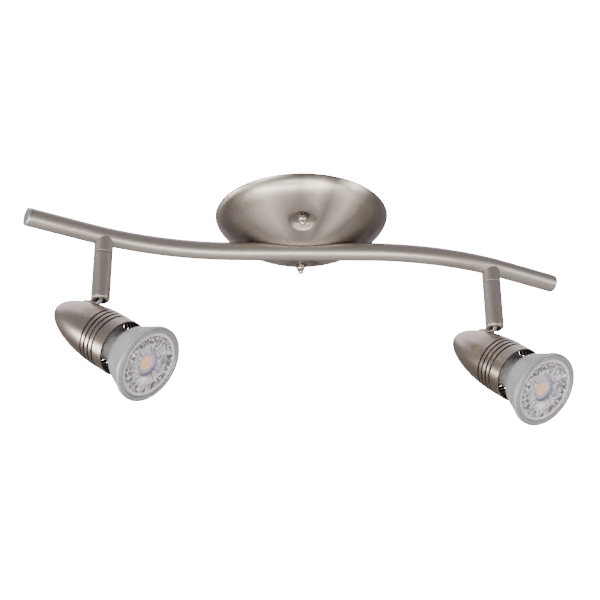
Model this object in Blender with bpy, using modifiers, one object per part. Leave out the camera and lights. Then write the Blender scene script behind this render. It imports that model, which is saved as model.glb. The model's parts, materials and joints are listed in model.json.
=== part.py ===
"""Two-lamp ceiling spotlight bar: a domed canopy, an S-curved tube and two swivelling GU10 heads.

Metres, +Z up. The origin is on the canopy's axis in the ceiling plane. +X runs along the bar.
"""
import math

import bmesh
import bpy
from mathutils import Matrix, Vector

MM = 0.001
GAP = 0.3 * MM                      # air left between pieces that touch

# ---- canopy
CANOPY_DIAMETER = 116.8 * MM
CANOPY_DEPTH = 25.2 * MM
CANOPY_WALL = 1.0 * MM
CANOPY_FULLNESS = 2.2               # exponents of the dome's superellipse
CANOPY_SHOULDER = 0.7
DIMPLE_DEPTH = 17.5 * MM            # below the ceiling
DIMPLE_FLOOR_DIAMETER = 17.0 * MM
DIMPLE_EDGE = 1.0 * MM              # drop and, 1.5 times as wide, inset of the floor's edge
DIMPLE_FLARE = 0.62                 # growth of the dimple's radius per unit of height
CUTTER_REACH = 5.0 * MM             # how far the canopy's cutters run past the metal they cut

# ---- canopy fixings
STUD_SPACING = 68.6 * MM
STUD_DIAMETER = 3.0 * MM
STUD_NUT_HEIGHT = 2.4 * MM
CAP_NUT_FLATS = 5.5 * MM
CAP_NUT_HEIGHT = 6.3 * MM
CAP_NUT_SKIRT = 2.9 * MM
CAP_NUT_BALL_RADIUS = 2.2 * MM
CAP_NUT_BORE_DEPTH = 3.6 * MM
WASHER_DIAMETER = 9.6 * MM
WASHER_THICKNESS = 0.5 * MM
WASHER_TEETH = 12
WASHER_ROOT = 0.74                  # radius between the teeth over radius at their tips
STRAP_WIDTH = 18.0 * MM
STRAP_LENGTH = 82.0 * MM
STRAP_THICKNESS = 2.0 * MM
STRAP_SLOT_WIDTH = 5.0 * MM
STRAP_SLOT_LENGTH = 14.0 * MM
STRAP_SLOT_CENTRE = 20.0 * MM
EARTH_SCREW_X = 5.4 * MM
EARTH_SCREW_RADIUS = 2.0 * MM
EARTH_HEAD_RADIUS = 3.7 * MM
EARTH_HEAD_HEIGHT = 2.4 * MM
BLOCK_LOW = (-32.0 * MM, -8.0 * MM, -12.5 * MM)
BLOCK_HIGH = (-15.0 * MM, 8.0 * MM, -5.0 * MM)
TERMINAL_PITCH = 5.0 * MM
TERMINAL_Z = -9.0 * MM
TERMINAL_BORE_RADIUS = 1.4 * MM

# ---- bar
TUBE_DIAMETER = 12.2 * MM
TUBE_WALL = 1.0 * MM
BAR_DROP = 25.8 * MM                # ceiling to tube axis
BAR_HALF_LENGTH = 185.0 * MM
BAR_STRAIGHT = 41.6 * MM            # straight part on each side of the centre
BAR_BEND_RADIUS = 204.0 * MM
BAR_BEND_END = 145.0 * MM
END_CAP_THICKNESS = 1.6 * MM
END_CAP_EDGE = 0.7 * MM
END_CAP_SPIGOT = 5.0 * MM
NIPPLE_DIAMETER = 0.656 * TUBE_DIAMETER
NIPPLE_BORE = 0.625 * NIPPLE_DIAMETER
NIPPLE_FLANGE = 0.2 * MM            # how far its flange stands out
NIPPLE_NUT_RADIUS = NIPPLE_DIAMETER / 2 + 3.5 * MM
NIPPLE_NUT_HEIGHT = 3.2 * MM
LEAD_RADIUS = 0.18 * NIPPLE_BORE

# ---- stems
STEM_DIAMETER = 12.3 * MM
STEM_STATION = 133.0 * MM           # along the bar from its centre
STEM_SEAM_DROP = 13.4 * MM
STEM_LENGTH = 34.0 * MM
STEM_WALL = 2.0 * MM
STEM_WEB = 2.5 * MM
STEM_EDGE = 2.4 * MM
STEM_CHAMFER = 0.4 * MM
STEM_BORE = STEM_DIAMETER - 2 * STEM_WALL
SWIVEL_NIPPLE_DIAMETER = 0.6 * STEM_BORE
SWIVEL_NIPPLE_BORE = 0.6 * SWIVEL_NIPPLE_DIAMETER
SWIVEL_FLANGE = 1.3 * MM
SWIVEL_WASHER_THICKNESS = 0.8 * MM
SWIVEL_NUT_HEIGHT = 3.0 * MM

# ---- tilt joint
PIN_RISE = 5.5 * MM                 # pin above the stem's lower end
PIN_DIAMETER = 0.36 * STEM_BORE
PIN_BLIND_WALL = 0.8 * MM           # metal left beyond the pin's end
PIN_HEAD_RADIUS = 0.9 * PIN_DIAMETER
PIN_HEAD_HEIGHT = 1.1 * MM
PIN_RECESS_RADIUS = PIN_DIAMETER
PIN_RECESS_FLOOR = 0.75 * MM        # wall left between the bore and the recess
SCREW_SLOT_WIDTH = 0.7 * MM
LUG_THICKNESS = 0.36 * STEM_BORE
LUG_EYE_DIAMETER = 0.82 * STEM_BORE
LUG_STEM_HALF = 2.9 * MM
LUG_TAIL = 8.5 * MM
LUG_DEPTH = 14.3 * MM
LUG_SHELF = 1.1 * MM
LUG_SCREW_DEPTH = 12.2 * MM
LUG_SCREW_RADIUS = 1.25 * MM
LUG_SCREW_HEAD_RADIUS = 2.2 * MM
HINGE_CLEARANCE = 4.35 * MM         # pin above the housing's skin line
HEAD_REACH = 66.9 * MM              # pin to lamp face, along the lamp's axis

# ---- lampholder
HOLDER_DIAMETER = 26.0 * MM
HOLDER_END = 61.0 * MM
HOLDER_EDGE = 0.8 * MM
HOLDER_SCREW_RADIUS = 1.5 * MM
HOLDER_SCREW_DEPTH = 4.0 * MM
PIN_SLOT_HALF_WIDTH = 2.9 * MM
PIN_SLOT_DEPTH = 7.6 * MM
PIN_SLOT_ROOM = 35.0                # degrees of slot beyond a pin on each side
BRIDGE_FRONT = HOLDER_END + 0.6 * MM
BRIDGE_THICKNESS = 1.2 * MM
BRIDGE_HALF_WIDTH = 6.0 * MM
BRIDGE_REACH = 12.6 * MM

# ---- lamp housing, measured back from the lamp's face
HOUSING_CLEARANCE = 5.4 * MM        # round the lampholder, wall included
HOUSING_DIAMETER = HOLDER_DIAMETER + 2 * HOUSING_CLEARANCE
HOUSING_WALL = 1.2 * MM
HOUSING_MOUTH = 26.0 * MM
HOUSING_NOSE_START = 40.0 * MM
HOUSING_NOSE_LENGTH = 50.6 * MM
HOUSING_NOSE_POWER = 1.7
SLOT_COUNT = 4
SLOT_FIRST = 34.4 * MM
SLOT_PITCH = 3.7 * MM
SLOT_WIDTH = 1.5 * MM
SLOT_RIB_HALF_ANGLE = 12.0
WIRE_SLOT = 3.0 * MM                # opening in front of the lug for the lead

# ---- lamp
LAMP_DIAMETER = 50.0 * MM
LAMP_NECK_DIAMETER = 23.6 * MM
LAMP_NECK_START = 25.4 * MM
LAMP_NECK_END = 43.0 * MM
LAMP_BASE_END = 48.0 * MM
LAMP_BASE_STEP = 1.4 * MM
LAMP_WALL = 1.2 * MM
LAMP_EDGE = 0.6 * MM
# inset from the rim and depth of the cup's outside, millimetres
LAMP_FLARE = ((0.0, 2.4), (1.8, 5.9), (2.9, 8.8), (4.7, 13.5), (7.0, 18.2), (10.0, 21.8))
LENS_DIAMETER = 42.6 * MM
LENS_SEAT = 2.6 * MM                # depth of the ring and of the lens's edge, and the ring's width
LENS_COLUMN_RADIUS = 7.0 * MM
LENS_BACK = 17.0 * MM
LED_DEPTH = 17.3 * MM
LED_RADIUS = 4.4 * MM
LED_BOARD_RADIUS = 14.2 * MM
LAMP_PIN_SPACING = 10.0 * MM
LAMP_PIN_RADIUS = 1.2 * MM
LAMP_PIN_FOOT_RADIUS = 2.4 * MM
LAMP_PIN_LENGTH = 7.0 * MM
LAMP_PIN_ROOT = 3.0 * MM
LAMP_TWIST = 25.0                   # degrees the lamp turns to unlock
LAMP_LEAD_RADIUS = 0.8 * MM

# ---- rest pose of each head: side, turn about the stem and elevation of the lamp's axis, degrees
HEADS = {"left": (-1, 62.7, -36.7), "right": (1, 44.2, -40.6)}

FINISHES = {
    "brushed_nickel": ((0.46, 0.42, 0.38), 1.0, 0.34),
    "bright_nickel": ((0.72, 0.69, 0.64), 1.0, 0.18),
    "zinc_steel": ((0.56, 0.56, 0.55), 1.0, 0.40),
    "green_zinc": ((0.16, 0.36, 0.17), 1.0, 0.40),
    "lamp_silver": ((0.47, 0.48, 0.49), 0.5, 0.42),
    "lens_clear": ((0.88, 0.88, 0.90), 0.0, 0.06),
    "led_phosphor": ((0.94, 0.63, 0.28), 0.0, 0.50),
    "ceramic_white": ((0.82, 0.80, 0.76), 0.0, 0.55),
    "base_white": ((0.80, 0.80, 0.79), 0.0, 0.45),
    "wire_sleeve": ((0.75, 0.72, 0.66), 0.0, 0.60),
    "block_nylon": ((0.85, 0.84, 0.80), 0.0, 0.50),
}

TUBE_RADIUS = TUBE_DIAMETER / 2
TUBE_BORE_RADIUS = TUBE_RADIUS - TUBE_WALL
STEM_RADIUS = STEM_DIAMETER / 2
HOUSING_RADIUS = HOUSING_DIAMETER / 2
HEAD_OFFSET = HOUSING_RADIUS + HINGE_CLEARANCE
LAMP_RADIUS = LAMP_DIAMETER / 2
NECK_RADIUS = LAMP_NECK_DIAMETER / 2
TUBE_Z = -BAR_DROP
SEAM_Z = TUBE_Z - STEM_SEAM_DROP
STEM_TOP = SEAM_Z - GAP
STEM_END = STEM_TOP - STEM_LENGTH
PIN_Z = STEM_END + PIN_RISE

parts = None
cutters = None


# ------------------------------------------------------------------ scene helpers
def clear_scene():
    """Remove every object and make the two collections."""
    global parts, cutters
    for obj in list(bpy.data.objects):
        bpy.data.objects.remove(obj, do_unlink=True)
    parts = bpy.data.collections.new("spotlight_bar")
    cutters = bpy.data.collections.new("cutters")
    bpy.context.scene.collection.children.link(parts)
    bpy.context.scene.collection.children.link(cutters)


def finish(name):
    """The Principled material of one finish, made once."""
    material = bpy.data.materials.get(name)
    if material is None:
        colour, metallic, roughness = FINISHES[name]
        material = bpy.data.materials.new(name)
        material.use_nodes = True
        shader = material.node_tree.nodes["Principled BSDF"]
        shader.inputs["Base Color"].default_value = (*colour, 1.0)
        shader.inputs["Metallic"].default_value = metallic
        shader.inputs["Roughness"].default_value = roughness
    return material


def add(obj, finish_name, parent=None, location=(0, 0, 0), rotation=(0, 0, 0)):
    """Link a part, or a cutter when it has no finish, and place it."""
    if finish_name is None:
        cutters.objects.link(obj)
        obj.hide_render = True
        obj.display_type = "WIRE"
    else:
        parts.objects.link(obj)
        obj.data.materials.append(finish(finish_name))
    obj.parent = parent
    obj.location = location
    obj.rotation_euler = rotation
    return obj


def from_bmesh(name, bm):
    """A mesh object from a bmesh."""
    mesh = bpy.data.meshes.new(name)
    bm.to_mesh(mesh)
    bm.free()
    return bpy.data.objects.new(name, mesh)


def box(name, low, high, bevel=0.0):
    """A box between two corners, with bevelled edges if a bevel is given."""
    bm = bmesh.new()
    bmesh.ops.create_cube(bm, size=1.0)
    low, high = Vector(low), Vector(high)
    size = high - low
    bmesh.ops.scale(bm, vec=size, verts=bm.verts)
    bmesh.ops.translate(bm, vec=(low + high) / 2, verts=bm.verts)
    obj = from_bmesh(name, bm)
    if bevel:
        edges = obj.modifiers.new("edges", "BEVEL")
        edges.width = bevel
        edges.segments = 2
    return obj


def rod(name, radius, start, end, segments=24):
    """A cylinder between two points; six segments give a hexagon."""
    start, end = Vector(start), Vector(end)
    along = end - start
    bm = bmesh.new()
    bmesh.ops.create_cone(bm, cap_ends=True, segments=segments, radius1=radius, radius2=radius,
                          depth=along.length)
    turn = along.to_track_quat("Z", "Y").to_matrix().to_4x4()
    bmesh.ops.transform(bm, matrix=Matrix.Translation((start + end) / 2) @ turn, verts=bm.verts)
    return smooth(from_bmesh(name, bm))


def smooth(obj):
    """Smooth shading with sharp edges above 35 degrees."""
    obj.data.shade_smooth()
    obj.data.set_sharp_from_angle(angle=math.radians(35))
    return obj


def turned(name, profile, closed=False, segments=24):
    """A solid of revolution about Z. The profile's (radius, z) points run down the outer side."""
    bm = bmesh.new()
    verts = [bm.verts.new((radius, 0, z)) for radius, z in profile]
    for first, second in zip(verts, verts[1:]):
        bm.edges.new((first, second))
    if closed:
        bm.edges.new((verts[-1], verts[0]))
    obj = from_bmesh(name, bm)
    screw = obj.modifiers.new("turn", "SCREW")
    screw.steps = segments
    screw.render_steps = segments
    screw.use_merge_vertices = True
    screw.merge_threshold = 0.00001
    screw.use_smooth_shade = True
    return obj


def outline_plate(name, outlines, thickness):
    """A flat plate from closed outlines in the XY plane, half its thickness above it and half below."""
    curve = bpy.data.curves.new(name, "CURVE")
    curve.dimensions = "2D"
    curve.fill_mode = "BOTH"
    curve.extrude = thickness / 2
    for outline in outlines:
        spline = curve.splines.new("POLY")
        spline.points.add(len(outline) - 1)
        for point, (x, y) in zip(spline.points, outline):
            point.co = (x, y, 0, 1)
        spline.use_cyclic_u = True
    return bpy.data.objects.new(name, curve)


def as_mesh(obj, matrix=None):
    """The curve object as a mesh object, moved by a matrix, with its caps welded."""
    scene = bpy.context.scene.collection
    scene.objects.link(obj)
    bpy.context.view_layer.update()
    evaluated = obj.evaluated_get(bpy.context.evaluated_depsgraph_get())
    mesh = bpy.data.meshes.new_from_object(evaluated)
    name = obj.name
    curve = obj.data
    bpy.data.objects.remove(obj, do_unlink=True)
    bpy.data.curves.remove(curve)
    bm = bmesh.new()
    bm.from_mesh(mesh)
    bpy.data.meshes.remove(mesh)
    bmesh.ops.remove_doubles(bm, verts=bm.verts, dist=0.00001)
    if matrix is not None:
        bmesh.ops.transform(bm, matrix=matrix, verts=bm.verts)
    bmesh.ops.recalc_face_normals(bm, faces=bm.faces)
    return from_bmesh(name, bm)


def wire(name, points, radius, resolution=2, caps=True):
    """A round wire or tube along a list of points."""
    curve = bpy.data.curves.new(name, "CURVE")
    curve.dimensions = "3D"
    curve.bevel_depth = radius
    curve.bevel_resolution = resolution
    curve.use_fill_caps = caps
    spline = curve.splines.new("POLY")
    spline.points.add(len(points) - 1)
    for point, place in zip(spline.points, points):
        point.co = (*place, 1)
    return bpy.data.objects.new(name, curve)


def combine(obj, other, operation="DIFFERENCE"):
    """Boolean with a cutter; the cutter stays in its own collection."""
    step = obj.modifiers.new(operation.lower(), "BOOLEAN")
    step.operation = operation
    step.object = other
    return obj


def cut_with(obj, cutter, parent=None):
    """Link a cutter under a parent and subtract it."""
    return combine(obj, add(cutter, None, parent))


def join_with(obj, extra, parent=None):
    """Link a shape under a parent and unite it with the object."""
    return combine(obj, add(extra, None, parent), "UNION")


def empty(name, parent, location, rotation=(0, 0, 0)):
    """A guide that holds the axis of a joint."""
    guide = bpy.data.objects.new(name, None)
    parts.objects.link(guide)
    guide.parent = parent
    guide.location = location
    guide.rotation_euler = rotation
    return guide


def arc(centre_r, centre_z, radius, start, end, steps):
    """Points of an arc in the profile plane, angles in degrees from +r towards +z."""
    angles = [math.radians(start + (end - start) * step / steps) for step in range(steps + 1)]
    return [(centre_r + radius * math.cos(a), centre_z + radius * math.sin(a)) for a in angles]


def polygon(radius, count, turn=0.0):
    """Corners of a regular polygon about the origin."""
    angles = [2 * math.pi * step / count + turn for step in range(count)]
    return [(radius * math.cos(a), radius * math.sin(a)) for a in angles]


# ------------------------------------------------------------------ shared geometry
def bar_point(station):
    """Plan position and heading of the bar's axis at a distance from its centre."""
    side = math.copysign(1.0, station)
    run = abs(station)
    angle = (min(max(run, BAR_STRAIGHT), BAR_BEND_END) - BAR_STRAIGHT) / BAR_BEND_RADIUS
    x = min(run, BAR_STRAIGHT) + BAR_BEND_RADIUS * math.sin(angle)
    y = BAR_BEND_RADIUS * (1 - math.cos(angle))
    beyond = max(run - BAR_BEND_END, 0.0)
    x += beyond * math.cos(angle)
    y += beyond * math.sin(angle)
    return side * x, side * y, angle


def bar_stations(start, end, bend_steps=7):
    """Stations that follow the bar's straights and bends between two stations."""
    bend = BAR_BEND_END - BAR_STRAIGHT
    bends = [BAR_STRAIGHT + bend * step / bend_steps for step in range(bend_steps + 1)]
    marks = sorted([-b for b in bends] + bends)
    return [start] + [mark for mark in marks if start + MM < mark < end - MM] + [end]


def canopy_profile(inset=0.0, steps=8):
    """Dome points from the centre out to the rim, moved inwards by the inset."""
    radius = CANOPY_DIAMETER / 2 - inset
    depth = CANOPY_DEPTH - inset
    points = []
    for step in range(steps + 1):
        r = radius * math.sin(math.pi / 2 * step / steps)
        height = depth * (1 - min(r / radius, 1.0) ** CANOPY_FULLNESS) ** CANOPY_SHOULDER
        points.append((r, -height))
    return points


def housing_radius(back):
    """Outer radius of the housing at a distance behind the lamp's face."""
    share = min(max((back - HOUSING_NOSE_START) / HOUSING_NOSE_LENGTH, 0.0), 1.0)
    return HOUSING_RADIUS * math.sqrt(1 - share ** HOUSING_NOSE_POWER)


# ------------------------------------------------------------------ canopy
def dome_solid(name, inset, reach):
    """The filled dome, closed by a flat top at the given height."""
    dome = canopy_profile(inset)
    rim_radius = dome[-1][0]
    return turned(name, [(0, reach), (rim_radius, reach)] + dome[::-1], segments=36)


def dimple_solid(name, side, inset):
    """The stamped hollow round a stud, flaring downwards."""
    floor = -DIMPLE_DEPTH + inset
    radius = DIMPLE_FLOOR_DIAMETER / 2 + inset
    depth = CANOPY_DEPTH - DIMPLE_DEPTH + 4 * DIMPLE_EDGE
    profile = [
        (0, floor),
        (radius - 1.5 * DIMPLE_EDGE, floor),
        (radius, floor - DIMPLE_EDGE),
        (radius + depth * DIMPLE_FLARE, floor - depth),
        (0, floor - depth),
    ]
    solid = turned(name, profile, segments=16)
    solid.location = (0, side * STUD_SPACING / 2, 0)
    return solid


def make_canopy():
    """Spun dome with a channel that nests the bar and two dimples for the cap nuts."""
    canopy = add(dome_solid("canopy", 0.0, 0.0), "brushed_nickel")
    cavity = add(dome_solid("canopy_cavity", CANOPY_WALL, CANOPY_WALL), None)
    half = CANOPY_DIAMETER / 2 + CUTTER_REACH
    for shell, label, inset in ((canopy, "outer", 0.0), (cavity, "inner", CANOPY_WALL)):
        radius = TUBE_RADIUS + GAP + inset
        channel = rod("channel_" + label, radius, (-half, 0, TUBE_Z), (half, 0, TUBE_Z))
        cut_with(shell, channel)
        for side in (-1, 1):
            dimple = dimple_solid(f"dimple_{label}_{side}", side, inset)
            place = tuple(dimple.location)
            combine(shell, add(dimple, None, None, place))
    combine(canopy, cavity)
    hole = STUD_DIAMETER / 2 + GAP
    for side in (-1, 1):
        y = side * STUD_SPACING / 2
        top = -DIMPLE_DEPTH + CUTTER_REACH
        cut_with(canopy, rod(f"stud_hole_{side}", hole, (0, y, -CANOPY_DEPTH), (0, y, top), 16))
    hole = NIPPLE_DIAMETER / 2 + GAP
    cut_with(canopy, rod("nipple_hole", hole, (0, 0, TUBE_Z), (0, 0, TUBE_Z + 2 * TUBE_RADIUS)))


def make_strap():
    """Flat mounting strap with two ceiling slots, two stud holes and an earth screw hole."""
    low = (-STRAP_WIDTH / 2, -STRAP_LENGTH / 2, -STRAP_THICKNESS)
    high = (STRAP_WIDTH / 2, STRAP_LENGTH / 2, 0)
    strap = add(box("mounting_strap", low, high, 0.15 * STRAP_THICKNESS), "zinc_steel")
    radius = STRAP_SLOT_WIDTH / 2
    run = STRAP_SLOT_LENGTH / 2 - radius
    below, above = -2 * STRAP_THICKNESS, STRAP_THICKNESS
    for side in (-1, 1):
        centre = side * STRAP_SLOT_CENTRE
        right = [(x, y + centre) for x, y in arc(0, run, radius, 0, 180, 6)]
        left = [(x, y + centre) for x, y in arc(0, -run, radius, 180, 360, 6)]
        slot = as_mesh(outline_plate(f"ceiling_slot_{side}", [right + left], 2 * STRAP_THICKNESS))
        combine(strap, add(slot, None, None, (0, 0, -STRAP_THICKNESS / 2)))
        y = side * STUD_SPACING / 2
        hole = STUD_DIAMETER / 2 + GAP
        cut_with(strap, rod(f"strap_stud_hole_{side}", hole, (0, y, below), (0, y, above), 16))
    hole = EARTH_SCREW_RADIUS + GAP
    cut_with(strap, rod("earth_hole", hole, (EARTH_SCREW_X, 0, below), (EARTH_SCREW_X, 0, above), 16))
    make_earth_screw()


def make_earth_screw():
    """Slotted earth screw in the strap."""
    top = -STRAP_THICKNESS - GAP
    crown = 0.7 * EARTH_HEAD_RADIUS
    profile = [
        (0, -GAP),
        (EARTH_SCREW_RADIUS, -GAP),
        (EARTH_SCREW_RADIUS, top),
        (EARTH_HEAD_RADIUS, top),
        (EARTH_HEAD_RADIUS, top - EARTH_HEAD_HEIGHT * 2 / 3),
        (crown, top - EARTH_HEAD_HEIGHT),
        (0, top - EARTH_HEAD_HEIGHT),
    ]
    screw = add(turned("earth_screw", profile, segments=16), "green_zinc", None, (EARTH_SCREW_X, 0, 0))
    half = SCREW_SLOT_WIDTH / 2
    low = (EARTH_SCREW_X - 2 * crown, -half, top - 2 * EARTH_HEAD_HEIGHT)
    high = (EARTH_SCREW_X + 2 * crown, half, top - EARTH_HEAD_HEIGHT * 2 / 3)
    cut_with(screw, box("earth_screw_slot", low, high))


def make_stud(label, side):
    """Threaded stud, its lock nut, the star washer and the cap nut under one dimple."""
    y = side * STUD_SPACING / 2
    radius = STUD_DIAMETER / 2
    washer_top = -DIMPLE_DEPTH - GAP
    nut_top = washer_top - WASHER_THICKNESS - GAP
    bore_end = nut_top - CAP_NUT_BORE_DEPTH
    stud = rod("stud_" + label, radius, (0, 0, -GAP), (0, 0, bore_end + GAP), 16)
    add(stud, "zinc_steel", None, (0, y, 0))
    lock_top = -STRAP_THICKNESS - GAP
    lock_low = lock_top - STUD_NUT_HEIGHT
    hexagon = CAP_NUT_FLATS / math.sqrt(3)
    lock = rod("stud_nut_" + label, hexagon, (0, 0, lock_low), (0, 0, lock_top), 6)
    add(lock, "zinc_steel", None, (0, y, 0))
    holder = empty("stud_guide_" + label, None, (0, y, 0))
    cut_with(lock, rod("stud_nut_bore_" + label, radius + GAP, (0, 0, 2 * lock_low), (0, 0, 0), 16), holder)
    tips = WASHER_DIAMETER / 2
    turns = [math.pi * i / WASHER_TEETH for i in range(2 * WASHER_TEETH)]
    reach = [tips if i % 2 else tips * WASHER_ROOT for i in range(2 * WASHER_TEETH)]
    star = [(r * math.cos(a), r * math.sin(a)) for a, r in zip(turns, reach)]
    washer = outline_plate("star_washer_" + label, [star, polygon(radius + GAP, 12)], WASHER_THICKNESS)
    add(as_mesh(washer), "bright_nickel", None, (0, y, washer_top - WASHER_THICKNESS / 2))
    nut = rod("cap_nut_" + label, hexagon, (0, 0, nut_top - CAP_NUT_SKIRT), (0, 0, nut_top), 6)
    add(nut, "bright_nickel", None, (0, y, 0))
    tip = nut_top - CAP_NUT_HEIGHT
    ball = CAP_NUT_BALL_RADIUS
    dome = [(0, nut_top - MM), (ball, nut_top - MM), (ball, nut_top - 1.1 * CAP_NUT_SKIRT)]
    dome += arc(0, tip + ball, ball, 15, -90, 6)[:-1] + [(0, tip)]
    join_with(nut, turned("cap_nut_dome_" + label, dome, segments=16), holder)
    cut_with(nut, rod("cap_nut_bore_" + label, radius + GAP, (0, 0, bore_end), (0, 0, 0), 16), holder)


def make_supply_nipple():
    """Hollow nipple between the canopy and the tube, with its nut."""
    radius, bore = NIPPLE_DIAMETER / 2, NIPPLE_BORE / 2
    flange = radius + NIPPLE_FLANGE
    flange_top = TUBE_Z + math.sqrt(TUBE_BORE_RADIUS ** 2 - flange ** 2) - 2 * GAP
    flange_low = flange_top - MM
    nut_low = TUBE_Z + TUBE_RADIUS + GAP + CANOPY_WALL + GAP
    nut_high = nut_low + NIPPLE_NUT_HEIGHT
    top = nut_high + MM
    profile = [
        (bore, top),
        (radius, top),
        (radius, flange_top),
        (flange, flange_top),
        (flange, flange_low),
        (bore, flange_low),
    ]
    add(turned("supply_nipple", profile, closed=True), "zinc_steel")
    nut = add(rod("nipple_nut", NIPPLE_NUT_RADIUS, (0, 0, nut_low), (0, 0, nut_high), 6), "zinc_steel")
    cut_with(nut, rod("nipple_nut_bore", radius + GAP, (0, 0, nut_low - MM), (0, 0, nut_high + MM)))


def make_canopy_fixings():
    """Everything inside the canopy: strap, studs, supply nipple, its nut, the terminal block."""
    make_strap()
    for label, side in (("front", -1), ("rear", 1)):
        make_stud(label, side)
    make_supply_nipple()
    block = add(box("terminal_block", BLOCK_LOW, BLOCK_HIGH, 0.8 * MM), "block_nylon")
    for row in (-1, 0, 1):
        start = (BLOCK_LOW[0] - MM, row * TERMINAL_PITCH, TERMINAL_Z)
        end = (BLOCK_HIGH[0] + MM, row * TERMINAL_PITCH, TERMINAL_Z)
        cut_with(block, rod(f"terminal_bore_{row}", TERMINAL_BORE_RADIUS, start, end, 12))


# ------------------------------------------------------------------ bar
def make_bar():
    """The S-curved tube, open inside, with holes for the nipple and the stems."""
    stations = bar_stations(-BAR_HALF_LENGTH, BAR_HALF_LENGTH)
    points = [(*bar_point(station)[:2], TUBE_Z) for station in stations]
    tube = smooth(as_mesh(wire("bar_tube", points, TUBE_RADIUS, 6, caps=False)))
    add(tube, "brushed_nickel")
    wall = tube.modifiers.new("wall", "SOLIDIFY")
    wall.thickness = TUBE_WALL
    wall.offset = -1
    hole = NIPPLE_DIAMETER / 2 + GAP
    cut_with(tube, rod("tube_nipple_hole", hole, (0, 0, TUBE_Z), (0, 0, TUBE_Z + 2 * TUBE_RADIUS)))
    hole = SWIVEL_NIPPLE_DIAMETER / 2 + GAP
    for label, (side, _, _) in HEADS.items():
        x, y, _ = bar_point(side * STEM_STATION)
        below = (x, y, TUBE_Z - 2 * TUBE_RADIUS)
        cut_with(tube, rod("tube_stem_hole_" + label, hole, below, (x, y, TUBE_Z), 16))
        make_end_cap(label, side)


def make_end_cap(label, side):
    """Pressed-in end cap: a softly edged disc on a spigot."""
    x, y, heading = bar_point(side * BAR_HALF_LENGTH)
    spigot = TUBE_BORE_RADIUS - GAP
    top = GAP + END_CAP_THICKNESS
    profile = [(0, top)] + arc(TUBE_RADIUS - END_CAP_EDGE, top - END_CAP_EDGE, END_CAP_EDGE, 90, 0, 2)
    profile += [(TUBE_RADIUS, GAP), (spigot, GAP), (spigot, -END_CAP_SPIGOT), (0, -END_CAP_SPIGOT)]
    outward = heading if side > 0 else heading + math.pi
    cap = turned("end_cap_" + label, profile)
    add(cap, "bright_nickel", None, (x, y, TUBE_Z), (math.pi / 2, 0, outward + math.pi / 2))


def make_stem_fixings(label, side):
    """Collar under the bar, hollow swivel nipple, friction washer and its nut."""
    x, y, heading = bar_point(side * STEM_STATION)
    guide = empty("stem_guide_" + label, None, (x, y, 0), (0, 0, heading))
    radius, bore = SWIVEL_NIPPLE_DIAMETER / 2, SWIVEL_NIPPLE_BORE / 2
    hole = radius + GAP
    chamfer = [(STEM_RADIUS, SEAM_Z + STEM_CHAMFER), (STEM_RADIUS - STEM_CHAMFER, SEAM_Z)]
    profile = [(hole, TUBE_Z), (STEM_RADIUS, TUBE_Z)] + chamfer + [(hole, SEAM_Z)]
    collar = add(turned("stem_collar_" + label, profile, closed=True), "brushed_nickel", guide)
    half = 2 * STEM_RADIUS
    mouth = rod("collar_mouth_" + label, TUBE_RADIUS + GAP, (-half, 0, TUBE_Z), (half, 0, TUBE_Z), 16)
    cut_with(collar, mouth, guide)

    flange = radius + SWIVEL_FLANGE
    flange_low = TUBE_Z - math.sqrt(TUBE_BORE_RADIUS ** 2 - flange ** 2) + 2 * GAP
    washer_high = STEM_TOP - STEM_WEB - GAP
    washer_low = washer_high - SWIVEL_WASHER_THICKNESS
    nut_high = washer_low - GAP
    nut_low = nut_high - SWIVEL_NUT_HEIGHT
    end = nut_low - MM
    profile = [
        (bore, flange_low + MM),
        (flange, flange_low + MM),
        (flange, flange_low),
        (radius, flange_low),
        (radius, end),
        (bore, end),
    ]
    add(turned("swivel_nipple_" + label, profile, closed=True, segments=20), "zinc_steel", guide)
    outer = STEM_BORE / 2 - GAP
    profile = [(hole, washer_high), (outer, washer_high), (outer, washer_low), (hole, washer_low)]
    add(turned("swivel_washer_" + label, profile, closed=True, segments=20), "zinc_steel", guide)
    nut = add(rod("swivel_nut_" + label, outer, (0, 0, nut_low), (0, 0, nut_high), 6), "zinc_steel", guide)
    bore = rod("swivel_nut_bore_" + label, hole, (0, 0, nut_low - MM), (0, 0, nut_high + MM), 20)
    cut_with(nut, bore, guide)


def make_feed_lead(label, side):
    """Twin lead from the terminal block through the nipple and the tube into a stem."""
    lane = side * NIPPLE_BORE / 4
    start_y = side * TERMINAL_PITCH
    start_x = BLOCK_HIGH[0] + LEAD_RADIUS / 2
    points = [
        (start_x, start_y, TERMINAL_Z),
        (0.6 * start_x, start_y, TERMINAL_Z),
        (0.27 * start_x, 0.7 * start_y, TERMINAL_Z),
        (lane, 0.25 * start_y, TERMINAL_Z - 1.5 * MM),
        (lane, 0, TERMINAL_Z - 5 * MM),
        (lane, 0, TUBE_Z + 1.2 * MM),
        (lane + side * 0.6 * MM, 0, TUBE_Z - 0.6 * MM),
        (lane + side * 2 * MM, 0, TUBE_Z - 1.4 * MM),
        (lane + side * 4 * MM, 0, TUBE_Z - 1.3 * MM),
    ]
    inner = [side * station for station in bar_stations(9 * MM, STEM_STATION - 5 * MM)]
    points += [(*bar_point(station)[:2], TUBE_Z) for station in inner]
    points += [(*bar_point(side * (STEM_STATION - 1.5 * MM))[:2], TUBE_Z + 0.4 * MM)]
    x, y, _ = bar_point(side * STEM_STATION)
    end = PIN_Z + LUG_EYE_DIAMETER / 2 + 4 * MM
    points += [(x, y, TUBE_Z - 0.8 * MM), (x, y, TUBE_Z - 6 * MM), (x, y, end)]
    add(wire("feed_lead_" + label, points, LEAD_RADIUS), "wire_sleeve")


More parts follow.
